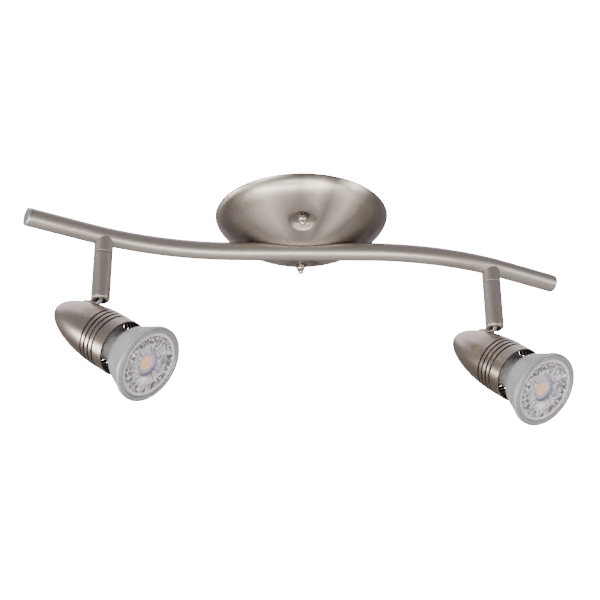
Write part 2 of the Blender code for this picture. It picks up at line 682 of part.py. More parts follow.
# ------------------------------------------------------------------ heads
def make_stem(label, swivel):
    """Hollow barrel that turns on the nipple, slotted at the back for the lug."""
    bore = STEM_BORE / 2
    hole = SWIVEL_NIPPLE_DIAMETER / 2 + GAP
    shoulder = STEM_TOP - STEM_CHAMFER
    profile = [(hole, STEM_TOP), (STEM_RADIUS - STEM_CHAMFER, STEM_TOP), (STEM_RADIUS, shoulder)]
    profile += arc(STEM_RADIUS - STEM_EDGE, STEM_END + STEM_EDGE, STEM_EDGE, 0, -75, 4)
    profile += [(bore, STEM_END + 0.1 * MM), (bore, STEM_TOP - STEM_WEB), (hole, STEM_TOP - STEM_WEB)]
    stem = add(turned(label + "_stem", profile, closed=True), "brushed_nickel", swivel)
    half = LUG_THICKNESS / 2 + GAP
    slot_top = PIN_Z + LUG_EYE_DIAMETER / 2 + 2 * GAP
    slot = box(label + "_stem_slot", (-half, 0, STEM_END - MM), (half, 2 * STEM_RADIUS, slot_top))
    cut_with(stem, slot, swivel)
    reach = STEM_RADIUS - PIN_BLIND_WALL
    outside = 2 * STEM_RADIUS
    hole = PIN_DIAMETER / 2 + GAP
    cut_with(stem, rod(label + "_pin_hole", hole, (-reach, 0, PIN_Z), (outside, 0, PIN_Z), 16), swivel)
    floor = bore + PIN_RECESS_FLOOR
    recess = rod(label + "_pin_recess", PIN_RECESS_RADIUS, (floor, 0, PIN_Z), (outside, 0, PIN_Z), 20)
    cut_with(stem, recess, swivel)
    make_hinge_screw(label, swivel, floor + GAP, GAP - reach)


def make_hinge_screw(label, swivel, seat, end):
    """Slotted pan-head screw whose plain shank is the tilt hinge."""
    top = seat + PIN_HEAD_HEIGHT
    edge = PIN_HEAD_HEIGHT / 2
    shank = PIN_DIAMETER / 2
    profile = [
        (0, top),
        (PIN_HEAD_RADIUS - edge, top),
        (PIN_HEAD_RADIUS, top - edge),
        (PIN_HEAD_RADIUS, seat),
        (shank, seat),
        (shank, end),
        (0, end),
    ]
    screw = turned(label + "_hinge_screw", profile, segments=20)
    add(screw, "bright_nickel", swivel, (0, 0, PIN_Z), (0, math.pi / 2, 0))
    half = SCREW_SLOT_WIDTH / 2
    low = (seat + edge, -half, PIN_Z - 2 * PIN_HEAD_RADIUS)
    high = (top + MM, half, PIN_Z + 2 * PIN_HEAD_RADIUS)
    cut_with(screw, box(label + "_hinge_screw_slot", low, high), swivel)


def slot_outline(inner, outer, start, end, steps=5):
    """A sector of a ring, angles in degrees from +Y towards +X."""
    def ring(radius, first, last):
        angles = [math.radians(first + (last - first) * i / steps) for i in range(steps + 1)]
        return [(radius * math.sin(a), radius * math.cos(a)) for a in angles]
    return ring(inner, start, end) + ring(outer, end, start)


def make_housing(label, lamp):
    """Bullet-shaped shell with ventilation slots and an opening for the lug."""
    steps = 7
    rises = [math.sin(math.pi / 2 * i / steps) for i in range(steps + 1)]
    backs = [HOUSING_NOSE_START + HOUSING_NOSE_LENGTH * rise for rise in rises]
    outer = [(HOUSING_RADIUS, -HOUSING_MOUTH)] + [(housing_radius(back), -back) for back in backs]
    share = (HOUSING_RADIUS - HOUSING_WALL) / HOUSING_RADIUS
    stretch = (HOUSING_NOSE_LENGTH - HOUSING_WALL) / HOUSING_NOSE_LENGTH
    inner = [(r * share, -HOUSING_NOSE_START + (z + HOUSING_NOSE_START) * stretch) for r, z in outer[1:]]
    inner = inner[::-1] + [(HOUSING_RADIUS * share, -HOUSING_MOUTH)]
    housing = add(turned(label + "_housing", inner + outer), "brushed_nickel", lamp)
    deep = HOUSING_RADIUS - 2.5 * HOUSING_WALL
    proud = HOUSING_RADIUS + 2 * HOUSING_WALL
    span = 180 - 2 * SLOT_RIB_HALF_ANGLE
    for index in range(SLOT_COUNT):
        back = SLOT_FIRST + index * SLOT_PITCH
        for half, first in (("a", SLOT_RIB_HALF_ANGLE), ("b", 180 + SLOT_RIB_HALF_ANGLE)):
            sector = slot_outline(deep, proud, first, first + span)
            cutter = as_mesh(outline_plate(f"{label}_slot_{index}{half}", [sector], SLOT_WIDTH))
            combine(housing, add(cutter, None, lamp, (0, 0, -back)))
    half = LUG_THICKNESS / 2 + GAP
    front = HEAD_REACH - LUG_STEM_HALF - GAP - WIRE_SLOT
    rear = HEAD_REACH + LUG_STEM_HALF + GAP
    low = (-half, HOUSING_RADIUS / 2, -rear)
    high = (half, HOUSING_RADIUS + MM, -front)
    cut_with(housing, box(label + "_lug_slot", low, high), lamp)


def make_lug(label, tilt):
    """Flat lug: an eye on the pin, a tail along the housing's back and a root inside it."""
    eye = LUG_EYE_DIAMETER / 2

    def skin(forward):
        return housing_radius(HEAD_REACH - forward) - HEAD_OFFSET

    middle = -(LUG_TAIL + LUG_STEM_HALF) / 2
    outline = arc(0, 0, eye, 0, 180, 10)
    outline += [
        (-eye, skin(-eye) + LUG_SHELF + 2 * GAP),
        (-LUG_TAIL + MM, skin(-LUG_TAIL + MM) + LUG_SHELF + GAP),
        (-LUG_TAIL, skin(-LUG_TAIL) + 0.8 * LUG_SHELF),
        (-LUG_TAIL, skin(-LUG_TAIL) + GAP),
        (middle, skin(middle) + GAP),
        (-LUG_STEM_HALF, skin(-LUG_STEM_HALF) + GAP),
        (-LUG_STEM_HALF, -LUG_DEPTH),
        (LUG_STEM_HALF, -LUG_DEPTH),
        (LUG_STEM_HALF, skin(LUG_STEM_HALF) + GAP),
        (eye, skin(eye) + GAP),
    ]
    axes = Matrix(((0, 0, 1, 0), (0, 1, 0, 0), (1, 0, 0, 0), (0, 0, 0, 1)))
    half = LUG_THICKNESS / 2
    plate = outline_plate(label + "_hinge_lug", [outline], LUG_THICKNESS)
    lug = add(as_mesh(plate, axes), "bright_nickel", tilt)
    hole = PIN_DIAMETER / 2 + GAP
    cut_with(lug, rod(label + "_lug_eye_hole", hole, (-2 * half, 0, 0), (2 * half, 0, 0), 20), tilt)
    hole = LUG_SCREW_RADIUS + GAP
    y = -LUG_SCREW_DEPTH
    cut_with(lug, rod(label + "_lug_screw_hole", hole, (-2 * half, y, 0), (2 * half, y, 0), 16), tilt)
    tab = half + GAP
    seat = tab + BRIDGE_THICKNESS + GAP
    edge = LUG_SCREW_HEAD_RADIUS / 4
    profile = [
        (0, seat + 2 * edge),
        (LUG_SCREW_HEAD_RADIUS - edge, seat + 2 * edge),
        (LUG_SCREW_HEAD_RADIUS, seat + edge),
        (LUG_SCREW_HEAD_RADIUS, seat),
        (LUG_SCREW_RADIUS, seat),
        (LUG_SCREW_RADIUS, -half),
        (0, -half),
    ]
    screw = turned(label + "_lug_screw", profile, segments=16)
    add(screw, "zinc_steel", tilt, (0, y, 0), (0, math.pi / 2, 0))
    make_bridge(label, tilt, tab, hole)


def make_bridge(label, tilt, tab, hole):
    """Bracket that hangs the lampholder on the lug: a plate with a folded tab."""
    front = HEAD_REACH - BRIDGE_FRONT
    rear = front - BRIDGE_THICKNESS
    screw_y = -LUG_SCREW_DEPTH
    top = screw_y + 1.6 * MM
    low = (-BRIDGE_HALF_WIDTH, -HEAD_OFFSET - BRIDGE_REACH, rear)
    bridge = add(box(label + "_bridge", low, (BRIDGE_HALF_WIDTH, top, front)), "zinc_steel", tilt)
    low = (tab, screw_y - 2.4 * MM, -LUG_STEM_HALF)
    high = (tab + BRIDGE_THICKNESS, top, front - 0.1 * MM)
    join_with(bridge, box(label + "_bridge_tab", low, high), tilt)
    across = ((0, screw_y, 0), (BRIDGE_HALF_WIDTH, screw_y, 0))
    cut_with(bridge, rod(label + "_bridge_tab_hole", hole, *across, 16), tilt)
    along = ((0, -HEAD_OFFSET, rear - MM), (0, -HEAD_OFFSET, front + MM))
    cut_with(bridge, rod(label + "_bridge_hole", HOLDER_SCREW_RADIUS + GAP, *along, 16), tilt)


def make_lampholder(label, lamp):
    """Ceramic GU10 holder with curved slots for the lamp's pins, and its screw."""
    front = LAMP_BASE_END + GAP
    radius = HOLDER_DIAMETER / 2
    profile = [
        (0, -front),
        (radius - HOLDER_EDGE, -front),
        (radius, -front - HOLDER_EDGE),
        (radius, -HOLDER_END + HOLDER_EDGE),
        (radius - HOLDER_EDGE, -HOLDER_END),
        (0, -HOLDER_END),
    ]
    holder = add(turned(label + "_lampholder", profile, segments=20), "ceramic_white", lamp)
    middle = LAMP_PIN_SPACING / 2
    for side in (0, 1):
        last = side * 180 + 90 + PIN_SLOT_ROOM
        first = last - LAMP_TWIST - 2 * PIN_SLOT_ROOM
        sector = slot_outline(middle - PIN_SLOT_HALF_WIDTH, middle + PIN_SLOT_HALF_WIDTH, first, last, 6)
        cutter = as_mesh(outline_plate(f"{label}_pin_slot_{side}", [sector], 2 * PIN_SLOT_DEPTH))
        combine(holder, add(cutter, None, lamp, (0, 0, -front)))
    screw_end = HOLDER_END - HOLDER_SCREW_DEPTH
    mouth, floor = (0, 0, -HOLDER_END - MM), (0, 0, GAP - screw_end)
    bore = rod(label + "_holder_bore", HOLDER_SCREW_RADIUS + GAP, mouth, floor, 16)
    cut_with(holder, bore, lamp)
    seat = BRIDGE_FRONT + BRIDGE_THICKNESS + GAP
    head = 1.8 * HOLDER_SCREW_RADIUS
    profile = [
        (0, -screw_end),
        (HOLDER_SCREW_RADIUS, -screw_end),
        (HOLDER_SCREW_RADIUS, -seat),
        (head, -seat),
        (head, -seat - 1.0 * MM),
        (0.7 * head, -seat - 1.9 * MM),
        (0, -seat - 1.9 * MM),
    ]
    add(turned(label + "_holder_screw", profile, segments=16), "zinc_steel", lamp)


def make_lamp_lead(label, lamp):
    """Lead that runs from the lampholder's back up through the opening in front of the lug."""
    stretch = HOLDER_DIAMETER / 2 / (13.0 * MM)
    route = [(-8.2, 2.5, 61.4), (-8.2, 2.8, 63.0), (-8.0, 4.2, 65.0), (-6.8, 7.0, 66.2), (-4.8, 9.6, 66.4)]
    route += [(-3.2, 11.4, 65.6), (-2.6, 12.3, 64.6)]
    points = [(x * MM * stretch, y * MM * stretch, -back * MM) for x, y, back in route]
    add(wire(label + "_lamp_lead", points, LAMP_LEAD_RADIUS), "wire_sleeve", lamp)


def make_lamp(label, lamp):
    """GU10 lamp: silver cup, front ring, lens, LED module, white base and two pins."""
    rim = LAMP_RADIUS
    seat = LENS_DIAMETER / 2 + LENS_SEAT + GAP
    bore = NECK_RADIUS - LAMP_WALL
    flare = [(rim - inset * MM, -depth * MM) for inset, depth in LAMP_FLARE]
    outer = [(rim, -LAMP_EDGE)] + flare + [(NECK_RADIUS, -LAMP_NECK_START), (NECK_RADIUS, -LAMP_NECK_END)]
    inner = [
        (bore, -LAMP_NECK_END),
        (bore, -LAMP_NECK_START + 0.4 * MM),
        (rim - 8.6 * MM, -18.2 * MM),
        (rim - 4.6 * MM, -9.0 * MM),
        (rim - 3.9 * MM, -LENS_SEAT - 0.4 * MM),
        (seat, -LENS_SEAT - 0.4 * MM),
        (seat, -LAMP_EDGE),
    ]
    add(turned(label + "_lamp_body", outer + inner, closed=True), "lamp_silver", lamp)
    make_lens(label, lamp, seat - GAP)
    led = [
        (0, -LED_DEPTH),
        (LED_RADIUS, -LED_DEPTH),
        (1.1 * LED_RADIUS, -LED_DEPTH - 0.6 * MM),
        (1.1 * LED_RADIUS, -LED_DEPTH - 1.3 * MM),
        (LED_BOARD_RADIUS, -LED_DEPTH - 1.3 * MM),
        (LED_BOARD_RADIUS, -LED_DEPTH - 2.9 * MM),
        (0, -LED_DEPTH - 2.9 * MM),
    ]
    add(turned(label + "_led_module", led, segments=20), "led_phosphor", lamp)
    make_lamp_base(label, lamp, bore - GAP)


def make_lens(label, lamp, ring_radius):
    """Front ring and the lens: a recessed column, a flat front and a cone behind."""
    lens = LENS_DIAMETER / 2
    low = -LENS_SEAT
    hole = lens + GAP
    ring = [(hole, 0), (ring_radius - GAP, 0), (ring_radius, -GAP), (ring_radius, low), (hole, low)]
    add(turned(label + "_lens_ring", ring, closed=True), "lamp_silver", lamp)
    column = LENS_COLUMN_RADIUS
    glass = [
        (0, -1.6 * MM),
        (column - 1.5 * MM, -1.6 * MM),
        (column, -0.9 * MM),
        (lens, -0.7 * MM),
        (lens, low),
        (lens - 1.2 * MM, low - 1.0 * MM),
        (0.5 * lens, -0.77 * LENS_BACK),
        (0.29 * lens, -LENS_BACK),
        (0, -LENS_BACK),
    ]
    add(turned(label + "_lens", glass), "lens_clear", lamp)


def make_lamp_base(label, lamp, spigot):
    """White base plugged into the neck, with two footed pins."""
    shoulder = LAMP_NECK_END + GAP
    radius = NECK_RADIUS - LAMP_BASE_STEP
    profile = [
        (0, -shoulder + LAMP_PIN_ROOT),
        (spigot, -shoulder + LAMP_PIN_ROOT),
        (spigot, -shoulder),
        (radius, -shoulder),
        (radius, -LAMP_BASE_END + MM),
        (radius - MM, -LAMP_BASE_END),
        (0, -LAMP_BASE_END),
    ]
    base = add(turned(label + "_lamp_base", profile, segments=20), "base_white", lamp)
    root = LAMP_BASE_END - LAMP_PIN_ROOT
    end = LAMP_BASE_END + LAMP_PIN_LENGTH
    foot = LAMP_PIN_FOOT_RADIUS
    for name, side in (("a", -1), ("b", 1)):
        x = side * LAMP_PIN_SPACING / 2
        socket = rod(f"{label}_pin_socket_{name}", LAMP_PIN_RADIUS + GAP, (x, 0, -end), (x, 0, -root), 12)
        cut_with(base, socket, lamp)
        profile = [
            (0, -root - GAP),
            (LAMP_PIN_RADIUS, -root - GAP),
            (LAMP_PIN_RADIUS, -end + 2.2 * MM),
            (foot, -end + 1.8 * MM),
            (foot, -end + 0.4 * MM),
            (foot - 0.4 * MM, -end),
            (0, -end),
        ]
        add(turned(f"{label}_lamp_pin_{name}", profile, segments=12), "bright_nickel", lamp, (x, 0, 0))


def make_head(label, side, turn, elevation):
    """One spotlight on its stem, posed by its two joint angles."""
    x, y, _ = bar_point(side * STEM_STATION)
    make_stem_fixings(label, side)
    make_feed_lead(label, side)
    swivel = empty(label + "_swivel_axis", None, (x, y, 0), (0, 0, math.radians(turn)))
    make_stem(label, swivel)
    tilt = empty(label + "_tilt_axis", swivel, (0, 0, PIN_Z), (math.radians(90 - elevation), 0, 0))
    make_lug(label, tilt)
    lamp = empty(label + "_lamp_axis", tilt, (0, -HEAD_OFFSET, HEAD_REACH))
    make_housing(label, lamp)
    make_lampholder(label, lamp)
    make_lamp_lead(label, lamp)
    make_lamp(label, lamp)


def main():
    clear_scene()
    make_canopy()
    make_canopy_fixings()
    make_bar()
    for label, (side, turn, elevation) in HEADS.items():
        make_head(label, side, turn, elevation)


main()
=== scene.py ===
"""Finished look of the two-lamp ceiling spotlight bar.

Every surface is a formula on a grid of points, worked out with numpy in metres, +Z up, in the
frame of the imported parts. A lamp's own frame has its origin in the middle of the lamp's face,
X along the tilt hinge, Y towards the lug and Z out of the lamp. "Back" is the distance behind the face.
"""
import json
import math

import bmesh
import bpy
import numpy as np
from mathutils import Matrix, Vector


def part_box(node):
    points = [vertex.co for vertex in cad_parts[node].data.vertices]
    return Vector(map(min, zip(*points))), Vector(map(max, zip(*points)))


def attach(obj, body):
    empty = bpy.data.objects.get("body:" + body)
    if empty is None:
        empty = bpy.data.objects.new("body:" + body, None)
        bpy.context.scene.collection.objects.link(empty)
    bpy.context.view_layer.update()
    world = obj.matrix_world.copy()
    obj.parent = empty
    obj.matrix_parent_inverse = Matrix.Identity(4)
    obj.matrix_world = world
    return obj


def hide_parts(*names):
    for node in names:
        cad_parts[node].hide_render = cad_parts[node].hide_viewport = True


bl_info = {
    "name": "Spotlight bar finish",
    "version": (1, 0, 0),
    "blender": (4, 5, 0),
    "location": "3D View > Sidebar > Spotlight bar",
    "description": "Surfaces, finishes and studio for a two-lamp ceiling spotlight bar",
    "category": "Object",
}

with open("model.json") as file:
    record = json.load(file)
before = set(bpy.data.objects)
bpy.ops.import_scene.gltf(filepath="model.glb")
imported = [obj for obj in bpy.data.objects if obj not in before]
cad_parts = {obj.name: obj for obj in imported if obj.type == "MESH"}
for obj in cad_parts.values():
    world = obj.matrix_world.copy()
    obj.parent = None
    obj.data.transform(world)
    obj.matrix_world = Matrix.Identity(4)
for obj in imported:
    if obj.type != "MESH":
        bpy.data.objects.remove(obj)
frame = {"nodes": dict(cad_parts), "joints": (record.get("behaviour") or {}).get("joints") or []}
MM = 0.001
SIDES = {"left": -1.0, "right": 1.0}
GRAIN_HEIGHT = 0.2 * MM             # height of a metal's grain at a strength of 1
INSIDE = 1.0                        # added to a map's first value on a wall's inside


def measure(node, axis):
    """Size of a CAD part's box along one axis, with its lowest and highest value."""
    low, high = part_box(node)
    return high[axis] - low[axis], low[axis], high[axis]


JOINTS = {joint["name"]: joint for joint in frame["joints"]}
CANOPY_WIDTH = measure("canopy", 0)[0]
CANOPY_LOW = measure("canopy", 2)[1]
DIMPLE_PLACE = sum(measure("stud_rear", 1)[1:]) / 2
TUBE_DEPTH, TUBE_LOW, TUBE_HIGH = measure("bar_tube", 2)
TUBE_RADIUS = TUBE_DEPTH / 2
TUBE_Z = (TUBE_LOW + TUBE_HIGH) / 2
TUBE_WALL = 1.0 * MM
COLLAR_LOW = measure("stem_collar_left", 2)[1]

STEM_LOW, STEM_HIGH = measure("left_stem", 2)[1:]
STEM_RADIUS = 6.15 * MM
STEM_BORE_RADIUS = 4.15 * MM
STEM_HOLE_RADIUS = 2.8 * MM         # for the swivel nipple, in the stem and its collar
STEM_WEB = 2.5 * MM
STEM_EDGE = 2.4 * MM
STEM_CHAMFER = 0.4 * MM
LUG_SLOT_HALF = 1.8 * MM            # half the opening for the lug, in the stem and the housing
RECESS_FLOOR = 4.9 * MM             # from the stem's axis to the seat of the hinge screw

# distances behind the lamp's face
HEAD_REACH = 66.9 * MM
HINGE_OFFSET = 22.75 * MM           # from the lamp's axis to the tilt hinge
HOUSING_WALL = 1.2 * MM
HOUSING_MOUTH = 26 * MM
NOSE_START = 40 * MM
NOSE_LENGTH, NOSE_INNER_LENGTH = 50.6 * MM, 49.4 * MM
HOUSING_TIP, HOUSING_INNER_TIP = 90.6 * MM, 89.4 * MM
NOSE_POWER = 1.7
SLOT_COUNT = 4
SLOT_FIRST = 34.4 * MM
SLOT_PITCH = 3.7 * MM
SLOT_HALF = 0.75 * MM
RIB_HALF_ANGLE = 12
LUG_FRONT, LUG_REAR = 60.7 * MM, 70.1 * MM


# ------------------------------------------------------------------ sizes and colours
def length(name, description, default):
    """A length that a user can change."""
    return bpy.props.FloatProperty(name=name, description=description, default=default, unit="LENGTH")


def tint(name, description, default):
    """A colour that a user can change."""
    return bpy.props.FloatVectorProperty(
        name=name, description=description, subtype="COLOR", size=3, default=default, min=0, max=1)


class SpotlightSizes(bpy.types.PropertyGroup):
    """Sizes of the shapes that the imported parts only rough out."""

    canopy_fullness: bpy.props.FloatProperty(
        name="Canopy fullness", description="Power of the radius in the dome's curve",
        default=2.2, min=1.2, max=6.0)
    canopy_shoulder: bpy.props.FloatProperty(
        name="Canopy shoulder", description="Power that rounds the dome's shoulder",
        default=0.7, min=0.3, max=1.5)
    canopy_wall: length("Canopy wall", "Sheet thickness of the canopy", 1.0 * MM)
    press_blend: length("Press blend", "Softness of the pressed edges in the canopy", 0.9 * MM)
    dimple_depth: length("Dimple floor", "Distance of the dimple floors below the ceiling", 17.5 * MM)
    bar_straight: length("Straight middle", "Half length of the bar's straight middle", 41.6 * MM)
    bar_bend_radius: length("Bend radius", "Radius of the bar's two bends", 204.0 * MM)
    bar_bend_end: length("Bend end", "Distance along the bar where the bends end", 145.0 * MM)
    bar_half_length: length("Bar half length", "Length of the bar from its middle to a cap", 185.0 * MM)
    stem_station: length("Stem station", "Distance of a stem from the middle of the bar", 133.0 * MM)
    housing_radius: length("Housing radius", "Outer radius of the lamp housing", 18.4 * MM)
    lamp_radius: length("Lamp radius", "Radius of the lamp's face", 25.0 * MM)
    lamp_neck_radius: length("Lamp neck", "Radius of the lamp's neck inside the housing", 11.8 * MM)
    lens_facets: bpy.props.IntProperty(
        name="Lens petals", description="Number of petals in the lens's outer ring",
        default=36, min=8, max=90)


class SpotlightColours(bpy.types.PropertyGroup):
    """Colours of the finishes."""

    nickel: tint("Satin nickel", "Colour of the brushed metal", (0.475, 0.42, 0.36))
    bright_nickel: tint("Bright nickel", "Colour of the polished small parts", (0.82, 0.78, 0.73))
    cap_steel: tint("End caps", "Colour of the bar's end caps", (0.80, 0.80, 0.84))
    zinc: tint("Zinc plate", "Colour of the hidden steel parts", (0.56, 0.56, 0.55))
    lamp_silver: tint("Lamp silver", "Colour of the lamp's painted cup", (0.52, 0.535, 0.55))
    phosphor: tint("Phosphor", "Colour of the light source seen in the lens", (0.92, 0.50, 0.23))


# ------------------------------------------------------------------ shader arithmetic
class Wire:
    """One output of a node, which can be added, subtracted, multiplied and divided like a number."""

    def __init__(self, graph, socket):
        self.graph = graph
        self.socket = socket

    def maths(self, operation, *values):
        return self.graph.node("ShaderNodeMath", {"operation": operation}, dict(enumerate(values)))

    def __add__(self, other):
        return self.maths("ADD", self, other)

    def __radd__(self, other):
        return self.maths("ADD", other, self)

    def __sub__(self, other):
        return self.maths("SUBTRACT", self, other)

    def __rsub__(self, other):
        return self.maths("SUBTRACT", other, self)

    def __mul__(self, other):
        return self.maths("MULTIPLY", self, other)

    def __rmul__(self, other):
        return self.maths("MULTIPLY", other, self)

    def __truediv__(self, other):
        return self.maths("DIVIDE", self, other)

    def __pow__(self, other):
        return self.maths("POWER", self, other)

    def __abs__(self):
        return self.maths("ABSOLUTE", self)


class Graph:
    """A node tree that is built up from nodes."""

    def __init__(self, tree):
        self.nodes, self.links = tree.nodes, tree.links
        self.nodes.clear()

    def node(self, kind, settings=None, values=None, output=0):
        """A node of a type: its settings first, then the numbers or wires of its sockets."""
        made = self.nodes.new(kind)
        for key, value in (settings or {}).items():
            if key == "stops":
                ramp = made.color_ramp
                while len(ramp.elements) < len(value):
                    ramp.elements.new(0.5)
                for element, (place, colour) in zip(ramp.elements, value):
                    element.position = place
                    element.color = (*colour, 1.0)
            else:
                setattr(made, key, value)
        for key, value in (values or {}).items():
            socket = made.inputs[key]
            if isinstance(value, Wire):
                self.links.new(value.socket, socket)
            elif hasattr(value, "__len__") and len(value) == 3 and socket.type == "RGBA":
                socket.default_value = (*value, 1.0)
            else:
                socket.default_value = value
        return Wire(self, made.outputs[output])

    def smooth_step(self, value, low, high):
        """0 below the low value, 1 above the high one and smooth between."""
        return self.node("ShaderNodeMapRange", {"interpolation_type": "SMOOTHSTEP"},
                         {"Value": value, "From Min": low, "From Max": high, "To Min": 0.0, "To Max": 1.0})

    def blend(self, share, first, second):
        """One colour into another."""
        return self.node("ShaderNodeMix", {"data_type": "RGBA"}, {0: share, 6: first, 7: second}, 2)

    def vector(self, x, y, z=0.0):
        return self.node("ShaderNodeCombineXYZ", None, {0: x, 1: y, 2: z})

    def noise(self, vector, scale, detail=2.0, roughness=0.5):
        return self.node("ShaderNodeTexNoise", None,
                         {"Vector": vector, "Scale": scale, "Detail": detail, "Roughness": roughness})

    def part(self, vector, axis):
        """One number of a vector or a colour."""
        return self.node("ShaderNodeSeparateXYZ", None, {0: vector}, axis)

    def bump(self, height, strength, distance):
        """Normal of a surface with fine heights on it."""
        return self.node("ShaderNodeBump", None,
                         {"Strength": strength, "Distance": distance, "Height": height})

    def end(self, kind, shader):
        """The tree's output node, with its surface."""
        self.links.new(shader.socket, self.nodes.new(kind).inputs["Surface"])


class Finish(Graph):
    """A material that is built up from nodes."""

    def __init__(self, name):
        self.material = bpy.data.materials.new(name)
        self.material.use_nodes = True
        super().__init__(self.material.node_tree)

    def object_place(self):
        """Place on the piece, in metres."""
        return self.node("ShaderNodeTexCoord", None, None, 3)

    def brush_map(self):
        """The piece's own map in metres: along the brush lines and across them."""
        place = self.node("ShaderNodeUVMap", {"uv_map": "brush"})
        return self.part(place, 0), self.part(place, 1)

    def shade(self, **values):
        """The Principled shader, to which every colour and number goes."""
        shader = self.node("ShaderNodeBsdfPrincipled", None,
                           {key.replace("_", " "): value for key, value in values.items()})
        self.end("ShaderNodeOutputMaterial", shader)
        return self.material


def colours():
    return bpy.context.scene.spotlight_colours


def sizes():
    return bpy.context.scene.spotlight_sizes


def cached(name, make):
    """The finish of that name, made on first use."""
    return bpy.data.materials.get(name) or make(name)


def brushed_metal(name, base, roughness, along_scale, across_scale, depth):
    """Satin plate: streaks that are long along the brush lines and fine across them, and painted shade, near
    black, on the inside of a wall whose map is moved by INSIDE.
    """
    finish = Finish(name)
    along, across = finish.brush_map()
    fine = finish.noise(finish.vector(along * along_scale, across * across_scale), 1.0, 3.0, 0.65)
    broad = finish.noise(finish.vector(along * (along_scale * 0.3), across * (across_scale * 0.16)), 1.0, 2.0)
    cloud = finish.noise(finish.object_place(), 38.0, 2.0)
    streak = (fine - 0.5) * 0.75 + (broad - 0.5) * 0.5
    dark = tuple(c * 0.84 for c in base)
    light = tuple(min(c * 1.13, 1.0) for c in base)
    tone = finish.blend(streak + 0.5, dark, light)
    lilac = tuple(c * t for c, t in zip(base, (0.99, 0.965, 1.02)))
    colour = finish.blend(finish.smooth_step(cloud, 0.3, 0.75) * 0.35, tone, lilac)
    # painted shade: the inside of a wall is painted near black, standing in for the shade inside the housing
    inside = finish.smooth_step(along, 0.2 * INSIDE, 0.6 * INSIDE)
    colour = finish.blend(inside, colour, (0.085, 0.068, 0.055))
    rough = roughness + (fine - 0.5) * 0.10 + (cloud - 0.5) * 0.06 + inside * 0.3
    bump = finish.bump(fine + broad * 0.6, depth, GRAIN_HEIGHT)
    return finish.shade(Base_Color=colour, Metallic=1.0, Roughness=rough, Normal=bump)


def spun_metal(name, base, roughness):
    """Spun plate: painted reflections in lighter and darker sectors round the canopy's axis, a painted pale
    reflection at the far rim and towards the limbs, and painted shade in the two dimples.

    Lengths are in millimetres."""
    finish = Finish(name)
    place = finish.object_place()
    x = finish.part(place, 0) * 1000.0
    y = finish.part(place, 1) * 1000.0
    radius = (x * x + y * y) ** 0.5
    along, across = finish.brush_map()
    fine = finish.noise(finish.vector(along * 22.0, across * 1500.0), 1.0, 3.0, 0.6)
    turn = x.maths("ARCTAN2", x, abs(y)) / math.pi + 0.5
    sway = finish.noise(finish.vector(x * 0.03, y * 0.03, 3.0), 1.0, 2.0) - 0.5
    # painted reflection colours: darkest, dark and pale copies of the nickel, and a warm painted highlight
    painted_dark_reflection, dark, pale = (tuple(c * share for c in base) for share in (0.40, 0.62, 1.35))
    light = (0.86, 0.80, 0.67)
    # painted reflections: these stops, by angle round the axis, give the lighter and darker sectors where
    # lamps' streaks would fall
    stops = [(0.0, painted_dark_reflection), (0.19, dark), (0.325, light), (0.41, base), (0.49, dark), (0.565, pale),
             (0.62, dark), (0.70, light), (0.78, dark), (1.0, painted_dark_reflection)]
    painted_reflection_fans = finish.node("ShaderNodeValToRGB", {"stops": stops}, {0: turn + sway * 0.03})
    tone = finish.blend(1 - finish.smooth_step(radius, 8.0, 34.0), painted_reflection_fans, base)
    # painted reflection: a pale lilac zone on the far part of the rim
    painted_far_reflection = finish.smooth_step(y, -6.0, 12.0) * finish.smooth_step(radius, 40.0, 54.0)
    tone = finish.blend(painted_far_reflection * 0.9, tone, (0.86, 0.81, 0.86))
    # painted reflection: pale lilac towards the left and right limbs
    painted_limb_reflection = finish.smooth_step(abs(x), 47.0, 57.0)
    tone = finish.blend(painted_limb_reflection * 0.55, tone, (0.66, 0.61, 0.64))
    # painted shade: the canopy is darkened in the dimples round the nuts
    dimple_y = abs(y) - DIMPLE_PLACE / MM
    dimple = 1 - finish.smooth_step((x * x + dimple_y * dimple_y) ** 0.5, 8.5, 13.0)
    tone = finish.blend(dimple * 0.75, tone, dark)
    tone = finish.blend(fine * 0.12, tone, (0.9, 0.86, 0.8))
    rough = roughness + (fine - 0.5) * 0.08 + dimple * 0.12
    bump = finish.bump(fine, 0.008, GRAIN_HEIGHT)
    return finish.shade(Base_Color=tone, Metallic=1.0, Roughness=rough, Normal=bump, Anisotropic=0.6)


def plated_metal(name, base, roughness, grain=900.0, depth=0.02):
    """Smooth plate with a faint grain and slightly duller patches."""
    finish = Finish(name)
    place = finish.object_place()
    grain_noise = finish.noise(place, grain, 3.0)
    patch = finish.noise(place, grain * 0.12, 2.0)
    colour = finish.blend(finish.smooth_step(patch, 0.3, 0.7), tuple(c * 0.93 for c in base), base)
    rough = roughness + (grain_noise - 0.5) * 0.08 + (patch - 0.5) * 0.05
    bump = finish.bump(grain_noise, depth, GRAIN_HEIGHT)
    return finish.shade(Base_Color=colour, Metallic=1.0, Roughness=rough, Normal=bump)


def painted(name, base, roughness, metallic=0.0, grain=1400.0, depth=0.05, change=0.05):
    """Paint, ceramic or plastic with a fine texture and a slow change of tone."""
    finish = Finish(name)
    place = finish.object_place()
    fine = finish.noise(place, grain, 2.0)
    slow = finish.noise(place, grain * 0.05, 2.0)
    share = finish.smooth_step(slow, 0.25, 0.75) * 0.7 + (fine - 0.5) * 0.5
    dark = tuple(c * (1 - change) for c in base)
    light = tuple(min(c * (1 + change), 1) for c in base)
    colour = finish.blend(share, dark, light)
    rough = roughness + (fine - 0.5) * 0.08
    bump = finish.bump(fine, depth, GRAIN_HEIGHT / 2)
    return finish.shade(Base_Color=colour, Metallic=metallic, Roughness=rough, Normal=bump)


